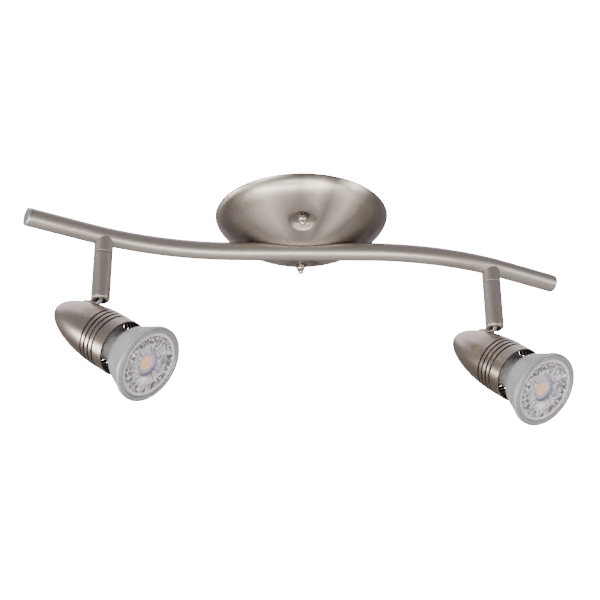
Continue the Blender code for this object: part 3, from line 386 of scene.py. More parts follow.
def lens_glass(name):
    """The pressed lens: the phosphor's image in the middle, then a lilac ring, streaks and dark petals, with
    a painted highlight, a painted dark reflection and painted glints.
    """
    finish = Finish(name)
    x, y = finish.brush_map()
    x, y = x * 1000.0, y * 1000.0
    radius = (x * x + y * y) ** 0.5
    angle = y.maths("ARCTAN2", y, x)
    turn_x, turn_y = angle.maths("COSINE", angle), angle.maths("SINE", angle)
    streaks = finish.noise(finish.vector(turn_x * 7.0, turn_y * 7.0, radius * 0.14), 1.0, 4.0, 0.7)
    cells = finish.node("ShaderNodeTexVoronoi", None, {"Vector": finish.vector(x, y, 0.0), "Scale": 0.72}, 1)
    cell, painted_glint = finish.part(cells, 0), finish.part(cells, 1)

    def lobe(centre_x, centre_y, reach):
        """1 at a place on the lens, falling to 0 at a distance in millimetres."""
        across, up = x - centre_x, y - centre_y
        return 1 - finish.smooth_step((across * across + up * up) ** 0.5, 0.0, reach)

    tone = finish.blend(finish.smooth_step(streaks, 0.30, 0.68), (0.22, 0.20, 0.235), (0.70, 0.67, 0.71))
    # painted reflection: a darker bluish patch off to one side of the middle
    tone = finish.blend(lobe(10.5, 6.5, 10.0) * 0.75, tone, (0.23, 0.23, 0.33))
    # painted highlight: a near-white patch on the other side of the middle
    tone = finish.blend(lobe(3.5, -10.5, 6.5) * 0.95, tone, (1.0, 0.98, 1.0))
    # painted glints: near-white sparkles on random cells
    tone = finish.blend(finish.smooth_step(painted_glint, 0.66, 0.9) * 0.75, tone, (0.97, 0.95, 0.99))
    ring = finish.smooth_step(radius, 13.6, 15.0) * (1 - finish.smooth_step(radius, 18.8, 19.4))
    spots = ring * finish.smooth_step(cell, 0.52, 0.62)
    tone = finish.blend(spots * 0.85, tone, (0.06, 0.05, 0.055))
    inner = (1 - finish.smooth_step(radius, 12.0, 13.6)) * finish.smooth_step(cell, 0.72, 0.84)
    tone = finish.blend(inner * 0.3, tone, (0.13, 0.11, 0.15))
    tone = finish.blend(finish.smooth_step(radius, 19.0, 19.6), tone, (0.74, 0.69, 0.68))
    rim_line = finish.smooth_step(radius, 20.3, 20.6)
    tone = finish.blend(rim_line * 0.6, tone, (0.40, 0.38, 0.40))
    column = 1 - finish.smooth_step(radius, 7.9, 8.3)
    tone = finish.blend(column, tone, (0.46, 0.445, 0.58))
    edge = finish.smooth_step(radius, 7.2, 7.8) * column
    tone = finish.blend(edge * 0.85, tone, (0.20, 0.19, 0.30))
    phosphor = tuple(colours().phosphor)
    core = 1 - finish.smooth_step(radius, 4.2, 5.4)
    warm = finish.blend(finish.smooth_step(streaks, 0.4, 0.62), phosphor, (0.98, 0.72, 0.48))
    tone = finish.blend(core, tone, warm)
    rough = 0.10 + core * 0.2 + spots * 0.1
    height = streaks * 0.5 + cell * 0.8 * (1 - column)
    bump = finish.bump(height, 0.5, 0.5 * MM)
    return finish.shade(Base_Color=tone, Metallic=0.0, Roughness=rough, Normal=bump, Coat_Weight=1.0,
                        Coat_Roughness=0.03, IOR=1.5)


def satin(name="brushed_nickel"):
    return cached(name, lambda n: brushed_metal(n, tuple(colours().nickel), 0.19, 40.0, 3200.0, 0.012))


def spun():
    return cached("spun_nickel", lambda n: spun_metal(n, tuple(colours().nickel), 0.32))


def bright():
    return cached("bright_nickel_plate", lambda n: plated_metal(n, tuple(colours().bright_nickel), 0.16))


def cap_plate():
    return cached("end_cap_plate", lambda n: plated_metal(n, tuple(colours().cap_steel), 0.30, 1500.0))


def dark_plate():
    # a dark brown plate, used on the star washers
    return cached("dark_washer_plate", lambda n: plated_metal(n, (0.20, 0.165, 0.13), 0.34, 700.0))


def zinc_plate():
    return cached("zinc_plate", lambda n: plated_metal(n, tuple(colours().zinc), 0.38, 700.0, 0.08))


def silver_paint():
    return cached("silver_paint", lambda n: painted(n, tuple(colours().lamp_silver), 0.36, 0.2, 2200.0, 0.03))


# ------------------------------------------------------------------ surfaces
class Skin:
    """Grids of points that together become one mesh, each with its own map in metres."""

    def __init__(self):
        self.points = []
        self.maps = []
        self.faces = []
        self.count = 0

    def add(self, grid, brush=None):
        """One grid of points, rows by columns; the map is worked out from the lengths of its sides."""
        rows, columns = grid.shape[:2]
        if brush is None:
            along = np.cumsum(np.linalg.norm(np.diff(grid, axis=0, prepend=grid[:1]), axis=2), axis=0)
            across = np.cumsum(np.linalg.norm(np.diff(grid, axis=1, prepend=grid[:, :1]), axis=2), axis=1)
            brush = np.stack([along.mean(axis=1)[:, None] * np.ones(columns),
                              across.mean(axis=0)[None, :] * np.ones((rows, 1))], axis=-1)
        index = np.arange(rows * columns).reshape(rows, columns) + self.count
        quads = np.stack([index[:-1, :-1], index[1:, :-1], index[1:, 1:], index[:-1, 1:]], axis=-1)
        self.points.append(grid.reshape(-1, 3))
        self.maps.append(brush.reshape(-1, 2))
        self.faces.append(quads.reshape(-1, 4))
        self.count += rows * columns
        return self

    def place(self, matrix):
        """Move everything by a 4x4 matrix."""
        matrix = np.array(matrix, float)
        self.points = [points @ matrix[:3, :3].T + matrix[:3, 3] for points in self.points]
        return self

    def piece(self, name, material, body, nodes=(), slot=None, sharp=32.0):
        """The finished object: doubles merged, faces outward, smooth but for sharp edges, on its body."""
        points = np.concatenate(self.points)
        brush = np.concatenate(self.maps)
        faces = np.concatenate(self.faces)
        mesh = bpy.data.meshes.new(name)
        mesh.from_pydata(points, [], faces)
        layer = mesh.uv_layers.new(name="brush")
        corners = np.zeros(len(mesh.loops), np.int32)
        mesh.loops.foreach_get("vertex_index", corners)
        layer.data.foreach_set("uv", brush[corners].astype(np.float32).ravel())
        work = bmesh.new()
        work.from_mesh(mesh)
        bmesh.ops.remove_doubles(work, verts=work.verts, dist=2e-6)
        bmesh.ops.dissolve_degenerate(work, dist=1e-7, edges=work.edges)
        bmesh.ops.recalc_face_normals(work, faces=work.faces)
        work.to_mesh(mesh)
        work.free()
        mesh.shade_smooth()
        mesh.set_sharp_from_angle(angle=math.radians(sharp))
        mesh.materials.append(material)
        obj = bpy.data.objects.new(name, mesh)
        bpy.context.scene.collection.objects.link(obj)
        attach(obj, body)
        if nodes:
            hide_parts(*nodes)
        return obj


def soft_max(first, second, width):
    """The larger of two fields, rounded over a width where they cross."""
    blend = np.clip(0.5 + 0.5 * (first - second) / width, 0.0, 1.0)
    return second + (first - second) * blend + width * blend * (1 - blend)


def smooth(value, low, high):
    """0 at the low value, 1 at the high one, with a level start and end."""
    share = np.clip((value - low) / (high - low), 0.0, 1.0)
    return share * share * (3 - 2 * share)


def arc(centre_r, centre_z, radius, start, end, steps=8):
    """Profile points on a circle, in degrees from outward towards up."""
    angle = np.radians(np.linspace(start, end, steps + 1))
    return np.stack([centre_r + radius * np.cos(angle), centre_z + radius * np.sin(angle)], axis=-1)


def line(start, end, steps=1):
    """Evenly spaced profile points from one to another."""
    return np.linspace(start, end, steps + 1)


def curve_through(points, steps):
    """A smooth profile through points: a cubic on each span, its slopes taken from the neighbours."""
    points = np.array(points, float)
    before = np.vstack([points[:1], points, points[-1:]])
    start, end = before[1:-2], before[2:-1]
    slope_start = (end - before[:-3]) / 2
    slope_end = (before[3:] - start) / 2
    t = np.linspace(0, 1, steps, endpoint=False)[:, None, None]
    spans = ((2 * t**3 - 3 * t**2 + 1) * start + (t**3 - 2 * t**2 + t) * slope_start
             + (3 * t**2 - 2 * t**3) * end + (t**3 - t**2) * slope_end)
    return np.vstack([spans.transpose(1, 0, 2).reshape(-1, 2), points[-1:]])


def around(profile, steps=96, gap=0.0, first=0.0, last=360.0):
    """A profile of (radius, height) carried round Z: x is radius times sine, y radius times cosine.

    With a gap the two ends lie in the flat planes x = gap and x = -gap on the +Y side."""
    profile = np.asarray(profile, float)
    radius, height = profile[:, 0], profile[:, 1]
    inset = np.degrees(np.arcsin(np.clip(gap / np.maximum(radius, 1e-9), 0, 1)))
    share = np.linspace(0, 1, steps + 1)[:, None]
    angle = np.radians((first + inset) * (1 - share) + (last - inset) * share)
    return np.stack([radius * np.sin(angle), radius * np.cos(angle), height * np.ones_like(angle)], axis=-1)


def turned(profile, steps=96):
    """A closed profile or one that ends on the axis, turned into a solid."""
    return Skin().add(around(profile, steps))


def wall_map(grid, outside):
    """Map in metres of a wall whose first columns are its outside; the others are moved by INSIDE, where the
    satin finish paints shade.
    """
    turn = np.linspace(0, 1, len(grid))[:, None] * 0.1
    reach = np.cumsum(np.linalg.norm(np.diff(grid, axis=1, prepend=grid[:, :1]), axis=2), axis=1).mean(axis=0)
    hidden = np.arange(grid.shape[1]) >= outside
    hidden[-1] = grid.shape[1] == outside
    return np.stack(np.broadcast_arrays(turn + INSIDE * hidden, reach), axis=-1)


def wall_zone(skin, outer, inner, steps=128, gap=0.0, first=0.0, last=360.0):
    """A shell between two paired profiles, closed at both ends; the flat ends of a gap are filled too."""
    loop = np.vstack([outer, inner[::-1], outer[:1]])
    grid = around(loop, steps, gap, first, last)
    skin.add(grid, wall_map(grid, len(outer)))
    if gap or last - first < 359.0:
        outside = around(outer, steps, gap, first, last)
        inside = around(inner, steps, gap, first, last)
        for end in (0, -1):
            skin.add(np.stack([outside[end], inside[end]]))
    return skin


def frame_matrix(origin, x_axis, z_axis):
    """Matrix that takes a local frame to its place."""
    z_axis = Vector(z_axis).normalized()
    x_axis = Vector(x_axis).normalized()
    y_axis = z_axis.cross(x_axis)
    matrix = Matrix((x_axis, y_axis, z_axis)).transposed().to_4x4()
    matrix.translation = Vector(origin)
    return matrix


def stem_matrix(side):
    """Frame of a stem: origin on the ceiling plane, X along the tilt hinge."""
    tilt = JOINTS[side + "_tilt"]
    x, y, _ = tilt["pos_m"]
    return frame_matrix((x, y, 0), tilt["axis"], (0, 0, 1))


def lamp_matrix(side):
    """Frame of a lamp: origin on its face."""
    twist = JOINTS[side + "_lamp_twist"]
    return frame_matrix(twist["pos_m"], JOINTS[side + "_tilt"]["axis"], twist["axis"])


def tilt_matrix(side):
    """Frame of the tilt hinge, turned as the lamp's."""
    return frame_matrix(JOINTS[side + "_tilt"]["pos_m"], JOINTS[side + "_tilt"]["axis"],
                        JOINTS[side + "_lamp_twist"]["axis"])


def bar_line(station):
    """Plan position and heading of the bar's axis: straight, a bend of constant radius, straight again."""
    size = sizes()
    side = np.where(station < 0, -1.0, 1.0)
    run = np.abs(station)
    angle = (np.clip(run, size.bar_straight, size.bar_bend_end) - size.bar_straight) / size.bar_bend_radius
    beyond = np.maximum(run - size.bar_bend_end, 0)
    x = np.minimum(run, size.bar_straight) + size.bar_bend_radius * np.sin(angle) + beyond * np.cos(angle)
    y = size.bar_bend_radius * (1 - np.cos(angle)) + beyond * np.sin(angle)
    return side * x, side * y, angle


def canopy_field(x, y, inset):
    """Height of the canopy's skin: a superellipse dome, raised at the bar's channel and the two dimples."""
    size = sizes()
    radius = CANOPY_WIDTH / 2 - inset
    depth = -CANOPY_LOW - inset
    r = np.hypot(x, y)
    share = np.minimum(r / radius, 1)
    dome = -depth * np.maximum(1 - share**size.canopy_fullness, 0) ** size.canopy_shoulder
    channel_radius = TUBE_RADIUS + 0.3 * MM + inset
    channel = TUBE_Z + np.sqrt(np.maximum(channel_radius**2 - y**2, 0))
    channel = channel - 60 * np.maximum(np.abs(y) - channel_radius, 0)
    fade = 1 - smooth(r, radius - 1.5 * MM, radius)
    field = soft_max(dome, channel, 0.35 * MM * fade + 1e-9)
    dimple_radius = 8.5 * MM + inset
    floor = -size.dimple_depth + inset
    for side in (-1, 1):
        d = np.hypot(x, y - side * DIMPLE_PLACE)
        cone = floor - 0.9 * MM * smooth(d, dimple_radius - 2.5 * MM, dimple_radius)
        cone = cone - np.maximum(d - dimple_radius, 0) * 1.55
        field = soft_max(field, cone, size.press_blend * fade + 1e-9)
    return np.minimum(field, 0.0)


# ------------------------------------------------------------------ pieces
def build_canopy():
    """Both skins of the dome on a grid of angle and radius, joined by a flat rim."""
    size = sizes()
    turn = np.linspace(0, 2 * math.pi, 433)
    turn = turn - 0.20 * np.sin(2 * turn)
    skin = Skin()
    for inset, steps in ((0.0, 150), (size.canopy_wall, 70)):
        radius = (CANOPY_WIDTH / 2 - inset) * np.sin(np.linspace(0, math.pi / 2, steps + 1))
        angles = turn if inset == 0.0 else turn[::3]
        x, y = radius * np.cos(angles)[:, None], radius * np.sin(angles)[:, None]
        points = np.stack([x, y, canopy_field(x, y, inset)], axis=-1)
        points[:, -1, 2] = 0.0
        brush = np.stack([angles[:, None] * 0.03 * np.ones_like(x), np.ones_like(x) * radius], axis=-1)
        skin.add(points, brush)
    outer, inner = CANOPY_WIDTH / 2, CANOPY_WIDTH / 2 - size.canopy_wall
    outer_edge = np.stack([outer * np.cos(turn), outer * np.sin(turn), 0 * turn], axis=-1)
    inner_edge = np.stack([inner * np.cos(turn[::3]), inner * np.sin(turn[::3]), 0 * turn[::3]], axis=-1)
    wide = np.repeat(inner_edge, 3, axis=0)[1:-1]
    skin.add(np.stack([outer_edge, wide]))
    skin.piece("canopy_shell", spun(), "root", ["canopy"], "brushed_nickel", 40.0)


def star_washer(radius, bore, thickness, teeth=12):
    """A flat ring whose edge swings between tooth tips and roots; the teeth are bent a little."""
    turn = np.linspace(0, 2 * math.pi, teeth * 16 + 1)
    wave = 0.5 + 0.5 * np.sign(np.cos(teeth * turn)) * np.abs(np.cos(teeth * turn)) ** 0.35
    edge = radius * (0.74 + 0.26 * wave)
    share = np.array([0.0, 0.55, 0.75, 1.0])
    r = bore + (edge[:, None] - bore) * share
    lift = thickness * 0.45 * np.sin(teeth * turn)[:, None] * share**2
    x, y = r * np.cos(turn)[:, None], r * np.sin(turn)[:, None]
    low = np.stack([x, y, lift - thickness / 2 + 0 * r], axis=-1)
    high = low[:, ::-1] + np.array([0, 0, thickness])
    loop = np.concatenate([low, high, low[:, :1]], axis=1)
    return Skin().add(loop)


def cap_nut(flats, skirt, height, ball):
    """Hexagonal skirt that rounds off into a ball.

    The radius at an angle is that of a hexagon, cut by a cone."""
    turn = np.linspace(0, 2 * math.pi, 145)
    folded = (turn % (math.pi / 3)) - math.pi / 6
    hexagon = flats / 2 / np.cos(folded)
    corner = flats / math.sqrt(3)
    rows = [(0.0, 0.0), (0.0, corner - 0.35 * MM), (-0.3 * MM, corner), (-skirt * 0.62, corner),
            (-skirt * 0.8, corner - 0.25 * MM), (-skirt, corner - 0.75 * MM)]
    radius = [np.minimum(hexagon, limit) for _, limit in rows]
    depth = [np.full_like(turn, z) for z, _ in rows]
    centre = -height + ball
    for angle in np.radians(np.linspace(38, -90, 16)):
        radius.append(np.full_like(turn, max(ball * math.cos(angle), 0.0)))
        depth.append(np.full_like(turn, centre + ball * math.sin(angle)))
    r, z = np.array(radius).T, np.array(depth).T
    return Skin().add(np.stack([r * np.cos(turn)[:, None], r * np.sin(turn)[:, None], z], axis=-1))


def build_nuts():
    """The star washer and the cap nut in each dimple."""
    for label in ("front", "rear"):
        low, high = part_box("star_washer_" + label)
        y = (low[1] + high[1]) / 2
        washer = star_washer((high[0] - low[0]) / 2, 1.8 * MM, high[2] - low[2])
        washer.place(Matrix.Translation((0, y, (low[2] + high[2]) / 2)))
        washer.piece("tooth_washer_" + label, dark_plate(), "root", ["star_washer_" + label], "bright_nickel")
        low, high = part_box("cap_nut_" + label)
        nut = cap_nut(5.5 * MM, 2.9 * MM, high[2] - low[2], 2.2 * MM)
        nut.place(Matrix.Translation((0, y, high[2])) @ Matrix.Rotation(math.radians(14), 4, "Z"))
        nut.piece("domed_nut_" + label, bright(), "root", ["cap_nut_" + label], "bright_nickel", 24.0)


def build_bar():
    """A ring carried along the bar's line: outer wall, inner wall and the two flat ends."""
    half = sizes().bar_half_length
    station = np.linspace(-half, half, 361)
    x, y, angle = bar_line(station)
    turn = np.linspace(0, 2 * math.pi, 97)
    skin = Skin()
    edges = []
    for radius in (TUBE_RADIUS, TUBE_RADIUS - TUBE_WALL):
        side, up = radius * np.sin(turn), radius * np.cos(turn)
        points = np.stack([x[:, None] - np.sin(angle)[:, None] * side,
                           y[:, None] + np.cos(angle)[:, None] * side,
                           TUBE_Z + up + 0 * x[:, None]], axis=-1)
        brush = np.stack(np.broadcast_arrays(station[:, None], turn * radius), axis=-1)
        skin.add(points, brush)
        edges.append(points)
    for end in (0, -1):
        skin.add(np.stack([edges[0][end], edges[1][end]]))
    skin.piece("bar", satin(), "root", ["bar_tube"], "brushed_nickel", 40.0)


def build_end_caps():
    """A disc with a soft edge and a faintly domed face, on its spigot."""
    for side, sign in SIDES.items():
        edge, top = 0.7 * MM, 1.9 * MM
        spigot = TUBE_RADIUS - 1.3 * MM
        dome = 0.12 * MM
        face = line((0, top + dome), (TUBE_RADIUS - edge, top), 10)
        face[:, 1] = top + dome * (1 - (face[:, 0] / (TUBE_RADIUS - edge)) ** 2) - dome
        profile = np.vstack([face, arc(TUBE_RADIUS - edge, top - edge, edge, 90, 0, 8)[1:],
                             [(TUBE_RADIUS, 0.3 * MM), (spigot, 0.3 * MM), (spigot, -5 * MM), (0, -5 * MM)]])
        x, y, angle = (float(v) for v in bar_line(np.array(sign * sizes().bar_half_length)))
        outward = (sign * math.cos(angle), sign * math.sin(angle), 0)
        cap = turned(profile).place(frame_matrix((x, y, TUBE_Z), (0, 0, 1), outward))
        cap.piece("end_plug_" + side, cap_plate(), "root", ["end_cap_" + side], "bright_nickel", 40.0)


def build_collars():
    """A short sleeve under the bar whose top follows the tube.

    Its height is the tube's circle at that offset, lowered by the fourth power of the offset at the front."""
    for side, sign in SIDES.items():
        outer, inner, edge = STEM_RADIUS, STEM_HOLE_RADIUS, STEM_CHAMFER
        saddle = TUBE_RADIUS + 0.1 * MM
        turn = np.linspace(0, 2 * math.pi, 129)[:, None]
        radius = np.concatenate([[inner, outer - edge], arc(outer - edge, 0, edge, -90, 0, 6)[1:, 0],
                                 np.full(7, outer), np.linspace(outer, inner, 6)[1:], [inner]])
        height = np.concatenate([[0, 0], arc(0, edge, edge, -90, 0, 6)[1:, 1], np.full(12, edge), [0]])
        y = radius * np.sin(turn)
        rounding = 0.2 * saddle**2 * (y / saddle) ** 4
        top = TUBE_Z - np.sqrt(saddle**2 - np.minimum(np.abs(y), saddle * 0.9999) ** 2 + rounding)
        share = np.concatenate([np.zeros(8), np.linspace(0, 1, 8)[1:], np.ones(5), [0]])
        z = (COLLAR_LOW + height) * (1 - share) + top * share
        x = radius * np.cos(turn)
        grid = np.stack([x, y, z], axis=-1)
        brush = np.stack([z - COLLAR_LOW, np.broadcast_to(turn * outer, z.shape)], axis=-1)
        station = sign * sizes().stem_station
        px, py, angle = (float(v) for v in bar_line(np.array(station)))
        place = frame_matrix((px, py, 0), (math.cos(angle), math.sin(angle), 0), (0, 0, 1))
        Skin().add(grid, brush).place(place).piece(
            "collar_" + side, satin(), "root", ["stem_collar_" + side], "brushed_nickel", 35.0)


def build_stems():
    """Barrel with a rounded lower edge, an open slot at the back and a counterbore for the hinge screw."""
    for side in SIDES:
        pin_z = JOINTS[side + "_tilt"]["pos_m"][2]
        top, low, r, bore = STEM_HIGH, STEM_LOW, STEM_RADIUS, STEM_BORE_RADIUS
        hole, web, edge, chamfer = STEM_HOLE_RADIUS, STEM_WEB, STEM_EDGE, STEM_CHAMFER
        slot_top = pin_z + 4.0 * MM
        skin = Skin()
        upper = np.vstack([[(hole, top), (r - chamfer, top)],
                           arc(r - chamfer, top - chamfer, chamfer, 90, 0, 4)[1:],
                           line((r, top - chamfer), (r, slot_top), 60)[1:], [(bore, slot_top)],
                           line((bore, slot_top), (bore, top - web), 6)[1:],
                           [(hole, top - web), (hole, top)]])
        skin.add(swap_map(around(upper, 144)))
        outer = np.vstack([line((r, slot_top), (r, low + edge), 40),
                           arc(r - edge, low + edge, edge, 0, -75, 12)[1:], [(bore, low + 0.1 * MM)]])
        inner = np.stack([np.full(len(outer), bore), outer[:, 1]], axis=-1)
        inner[-1, 1] = low + 0.12 * MM
        loop = np.vstack([outer, inner[::-1], outer[:1]])
        grid = around(loop, 220, LUG_SLOT_HALF)
        reach = np.hypot(grid[..., 1], grid[..., 2] - pin_z)
        mask = (1 - smooth(reach, 2.95 * MM, 3.1 * MM)) * (grid[..., 0] > RECESS_FLOOR)
        grid[..., 0] += (RECESS_FLOOR - grid[..., 0]) * mask
        skin.add(swap_map(grid))
        outside, inside = around(outer, 2, LUG_SLOT_HALF), around(inner, 2, LUG_SLOT_HALF)
        for end in (0, -1):
            skin.add(np.stack([outside[end], inside[end]]))
        skin.place(stem_matrix(side))
        skin.piece(side + "_barrel", satin(), side + "_stem", [side + "_stem"], "brushed_nickel", 35.0)
        build_hinge_screw(side, pin_z, RECESS_FLOOR + 0.3 * MM)


def swap_map(grid):
    """The same grid with rows and columns swapped, so that the brush lines run along the profile."""
    return grid.transpose(1, 0, 2)


def build_hinge_screw(side, pin_z, seat):
    """A slotted pan head on a plain pin; the head's height drops inside the slot."""
    head, height, edge = 2.7 * MM, 1.1 * MM, 0.5 * MM
    shank, reach = 1.5 * MM, 5.0 * MM
    turn = np.linspace(0, 2 * math.pi, 97)[:, None]
    radius = np.concatenate([np.linspace(0, head - edge, 22), arc(head - edge, 0, edge, 90, 0, 6)[1:, 0]])
    crown = np.concatenate([np.full(22, seat + height), arc(0, seat + height - edge, edge, 90, 0, 6)[1:, 1]])
    x, y = radius * np.cos(turn), radius * np.sin(turn)
    notch = (1 - smooth(np.abs(y), 0.33 * MM, 0.37 * MM)) * 0.6 * MM
    z = np.maximum(crown - notch, seat + 0.3 * MM)
    skin = Skin().add(np.stack([x, y, z], axis=-1))
    under = [(head, crown[-1]), (head, seat), (shank, seat), (shank, -reach), (0, -reach)]
    skin.add(around(under, 96)[:, :, [1, 0, 2]])
    pin = frame_matrix((0, 0, pin_z), (0, 0, -1), (1, 0, 0))
    skin.place(stem_matrix(side) @ pin)
    skin.piece(side + "_pivot_screw", bright(), side + "_stem", [side + "_hinge_screw"],
               "bright_nickel", 30.0)


def housing_outer(back):
    """Radius of the housing: straight, then a nose that narrows as a power curve to its tip."""
    share = np.clip((back - NOSE_START) / NOSE_LENGTH, 0, 1)
    return sizes().housing_radius * np.sqrt(np.maximum(1 - share**NOSE_POWER, 0))


def housing_inner(back):
    """The same curve for the inside, smaller by the wall."""
    share = np.clip((back - NOSE_START) / NOSE_INNER_LENGTH, 0, 1)
    return (sizes().housing_radius - HOUSING_WALL) * np.sqrt(np.maximum(1 - share**NOSE_POWER, 0))


def build_housings():
    """Rings between the ventilation slots, short ribs across them, and the nose, open for the lug."""
    for side in SIDES:
        skin = Skin()
        slots = [SLOT_FIRST + SLOT_PITCH * index for index in range(SLOT_COUNT)]
        marks = [HOUSING_MOUTH] + [edge for slot in slots for edge in (slot - SLOT_HALF, slot + SLOT_HALF)]
        for low, high in zip(marks[::2], marks[1::2]):
            housing_zone(skin, low, high)
        housing_zone(skin, marks[-1], LUG_FRONT, 40)
        housing_zone(skin, LUG_FRONT, LUG_REAR, 30, gap=LUG_SLOT_HALF)
        housing_zone(skin, LUG_REAR, None, 60)
        for slot in slots:
            for middle in (0.0, 180.0):
                housing_zone(skin, slot - SLOT_HALF, slot + SLOT_HALF, 2, steps=12,
                             first=middle - RIB_HALF_ANGLE, last=middle + RIB_HALF_ANGLE)
        skin.place(lamp_matrix(side))
        skin.piece(side + "_shade", housing_finish(), side + "_head", [side + "_housing"],
                   "brushed_nickel", 32.0)


def housing_finish():
    nickel = tuple(colours().nickel)
    return cached("turned_nickel", lambda n: brushed_metal(n, nickel, 0.31, 22.0, 2600.0, 0.015))


def housing_zone(skin, low, high, rows=6, steps=160, gap=0.0, first=0.0, last=360.0):
    """One band of the housing's wall between two distances behind the face; no upper one means to the tip."""
    if high is None:
        share = np.sin(np.linspace(0, math.pi / 2, rows + 1))
        outer_back = low + (HOUSING_TIP - low) * share
        inner_back = low + (HOUSING_INNER_TIP - low) * share
    else:
        outer_back = inner_back = np.linspace(low, high, rows + 1)
    outer = np.stack([housing_outer(outer_back), -outer_back], axis=-1)
    inner = np.stack([housing_inner(inner_back), -inner_back], axis=-1)
    if high is None:
        hidden = around(inner, steps)
        skin.add(around(outer, steps)).add(hidden, wall_map(hidden, 0))
        skin.add(around(np.stack([outer[0], inner[0]]), steps))
    else:
        wall_zone(skin, outer, inner, steps, gap, first, last)


def lug_outline():
    """Side view of the lug, with the hinge at the origin: (along the lamp's axis, away from it)."""
    gap, eye, tail, root, foot = 0.3 * MM, 3.4 * MM, 8.5 * MM, 2.9 * MM, -14.3 * MM

    def skin_at(forward):
        """Height of the housing's skin at a place along the lug."""
        return float(housing_outer(np.array(HEAD_REACH - forward))) - HINGE_OFFSET

    top = arc(0, 0, eye, 0, 180, 20)
    low = [(-eye, skin_at(-eye) + 1.7 * MM), (-tail + MM, skin_at(-tail + MM) + 1.4 * MM),
           (-tail, skin_at(-tail) + 0.8 * MM), (-tail, skin_at(-tail) + gap)]
    run = np.linspace(-tail, -root, 6)[1:]
    under = [(f, skin_at(f) + gap) for f in run]
    base = [(-root, foot), (root, foot), (root, skin_at(root) + gap), (eye, skin_at(eye) + gap)]
    return np.vstack([top, low, under, base])


def build_lugs():
    """The lug's outline carried through its thickness, with softened edges."""
    for side in SIDES:
        outline = lug_outline()
        half = 1.5 * MM
        mesh = bpy.data.meshes.new(side + "_lug")
        points = [(x, y, z) for x in (-half, half) for z, y in outline]
        count = len(outline)
        index = np.arange(count)
        sides = np.stack([index, (index + 1) % count, (index + 1) % count + count, index + count], axis=-1)
        mesh.from_pydata(points, [], [list(face) for face in sides] + [list(range(count))[::-1],
                                                                       list(range(count, 2 * count))])
        work = bmesh.new()
        work.from_mesh(mesh)
        bmesh.ops.recalc_face_normals(work, faces=work.faces)
        bmesh.ops.transform(work, matrix=tilt_matrix(side), verts=work.verts)
        work.to_mesh(mesh)
        work.free()
        obj = bpy.data.objects.new(side + "_lug", mesh)
        bpy.context.scene.collection.objects.link(obj)
        edges = obj.modifiers.new("edges", "BEVEL")
        edges.width = 0.25 * MM
        edges.segments = 3
        mesh.shade_smooth()
        mesh.set_sharp_from_angle(angle=math.radians(32))
        mesh.materials.append(bright())
        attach(obj, side + "_head")
        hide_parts(side + "_hinge_lug")


def build_lamps():
    """Silver cup with its flare, the front ring and the pressed lens."""
    for side in SIDES:
        body = side + "_lamp"
        place = lamp_matrix(side)
        rim = sizes().lamp_radius
        neck = sizes().lamp_neck_radius
        flare = curve_through([(rim - 0.1 * MM, -2.8 * MM), (rim - 1.6 * MM, -5.7 * MM),
                               (rim - 2.9 * MM, -8.8 * MM), (rim - 4.7 * MM, -13.5 * MM),
                               (rim - 7.0 * MM, -18.2 * MM),
                               (neck + 3.2 * MM, -21.8 * MM), (neck + 1.0 * MM, -24.2 * MM)], 8)
        outer = np.vstack([[(24.2 * MM, -0.6 * MM)], arc(rim - 0.5 * MM, -1.1 * MM, 0.5 * MM, 90, 0, 6),
                           line((rim, -1.1 * MM), (rim, -2.3 * MM), 3)[1:], flare, [(neck, -25.4 * MM)],
                           line((neck, -25.4 * MM), (neck, -42.6 * MM), 12)[1:],
                           [(neck - 0.4 * MM, -43.0 * MM)]])
        inner = curve_through([(neck - 1.2 * MM, -43 * MM), (neck - 1.2 * MM, -25.0 * MM),
                               (rim - 8.6 * MM, -18.2 * MM), (rim - 4.6 * MM, -9 * MM),
                               (rim - 3.9 * MM, -3 * MM)], 8)
        loop = np.vstack([outer, inner, [(24.2 * MM, -3.0 * MM), (24.2 * MM, -0.6 * MM)]])
        turned(loop, 160).place(place).piece(side + "_cup", silver_paint(), body, [side + "_lamp_body"],
                                             "lamp_silver", 30.0)
        low, high, edge = 21.6 * MM, 23.95 * MM, 0.5 * MM
        ring = np.vstack([arc(low + edge, -edge, edge, 180, 90, 5), arc(high - edge, -edge, edge, 90, 0, 5),
                          [(high, -2.6 * MM), (low, -2.6 * MM), (low, -edge)]])
        turned(ring, 160).place(place).piece(side + "_front_ring", ring_paint(), body, [side + "_lens_ring"],
                                             "lamp_silver", 40.0)
        build_lens(side, body, place)


def ring_paint():
    return cached("ring_paint", lambda n: painted(n, (0.40, 0.42, 0.46), 0.36, 0.5, 2200.0, 0.03))


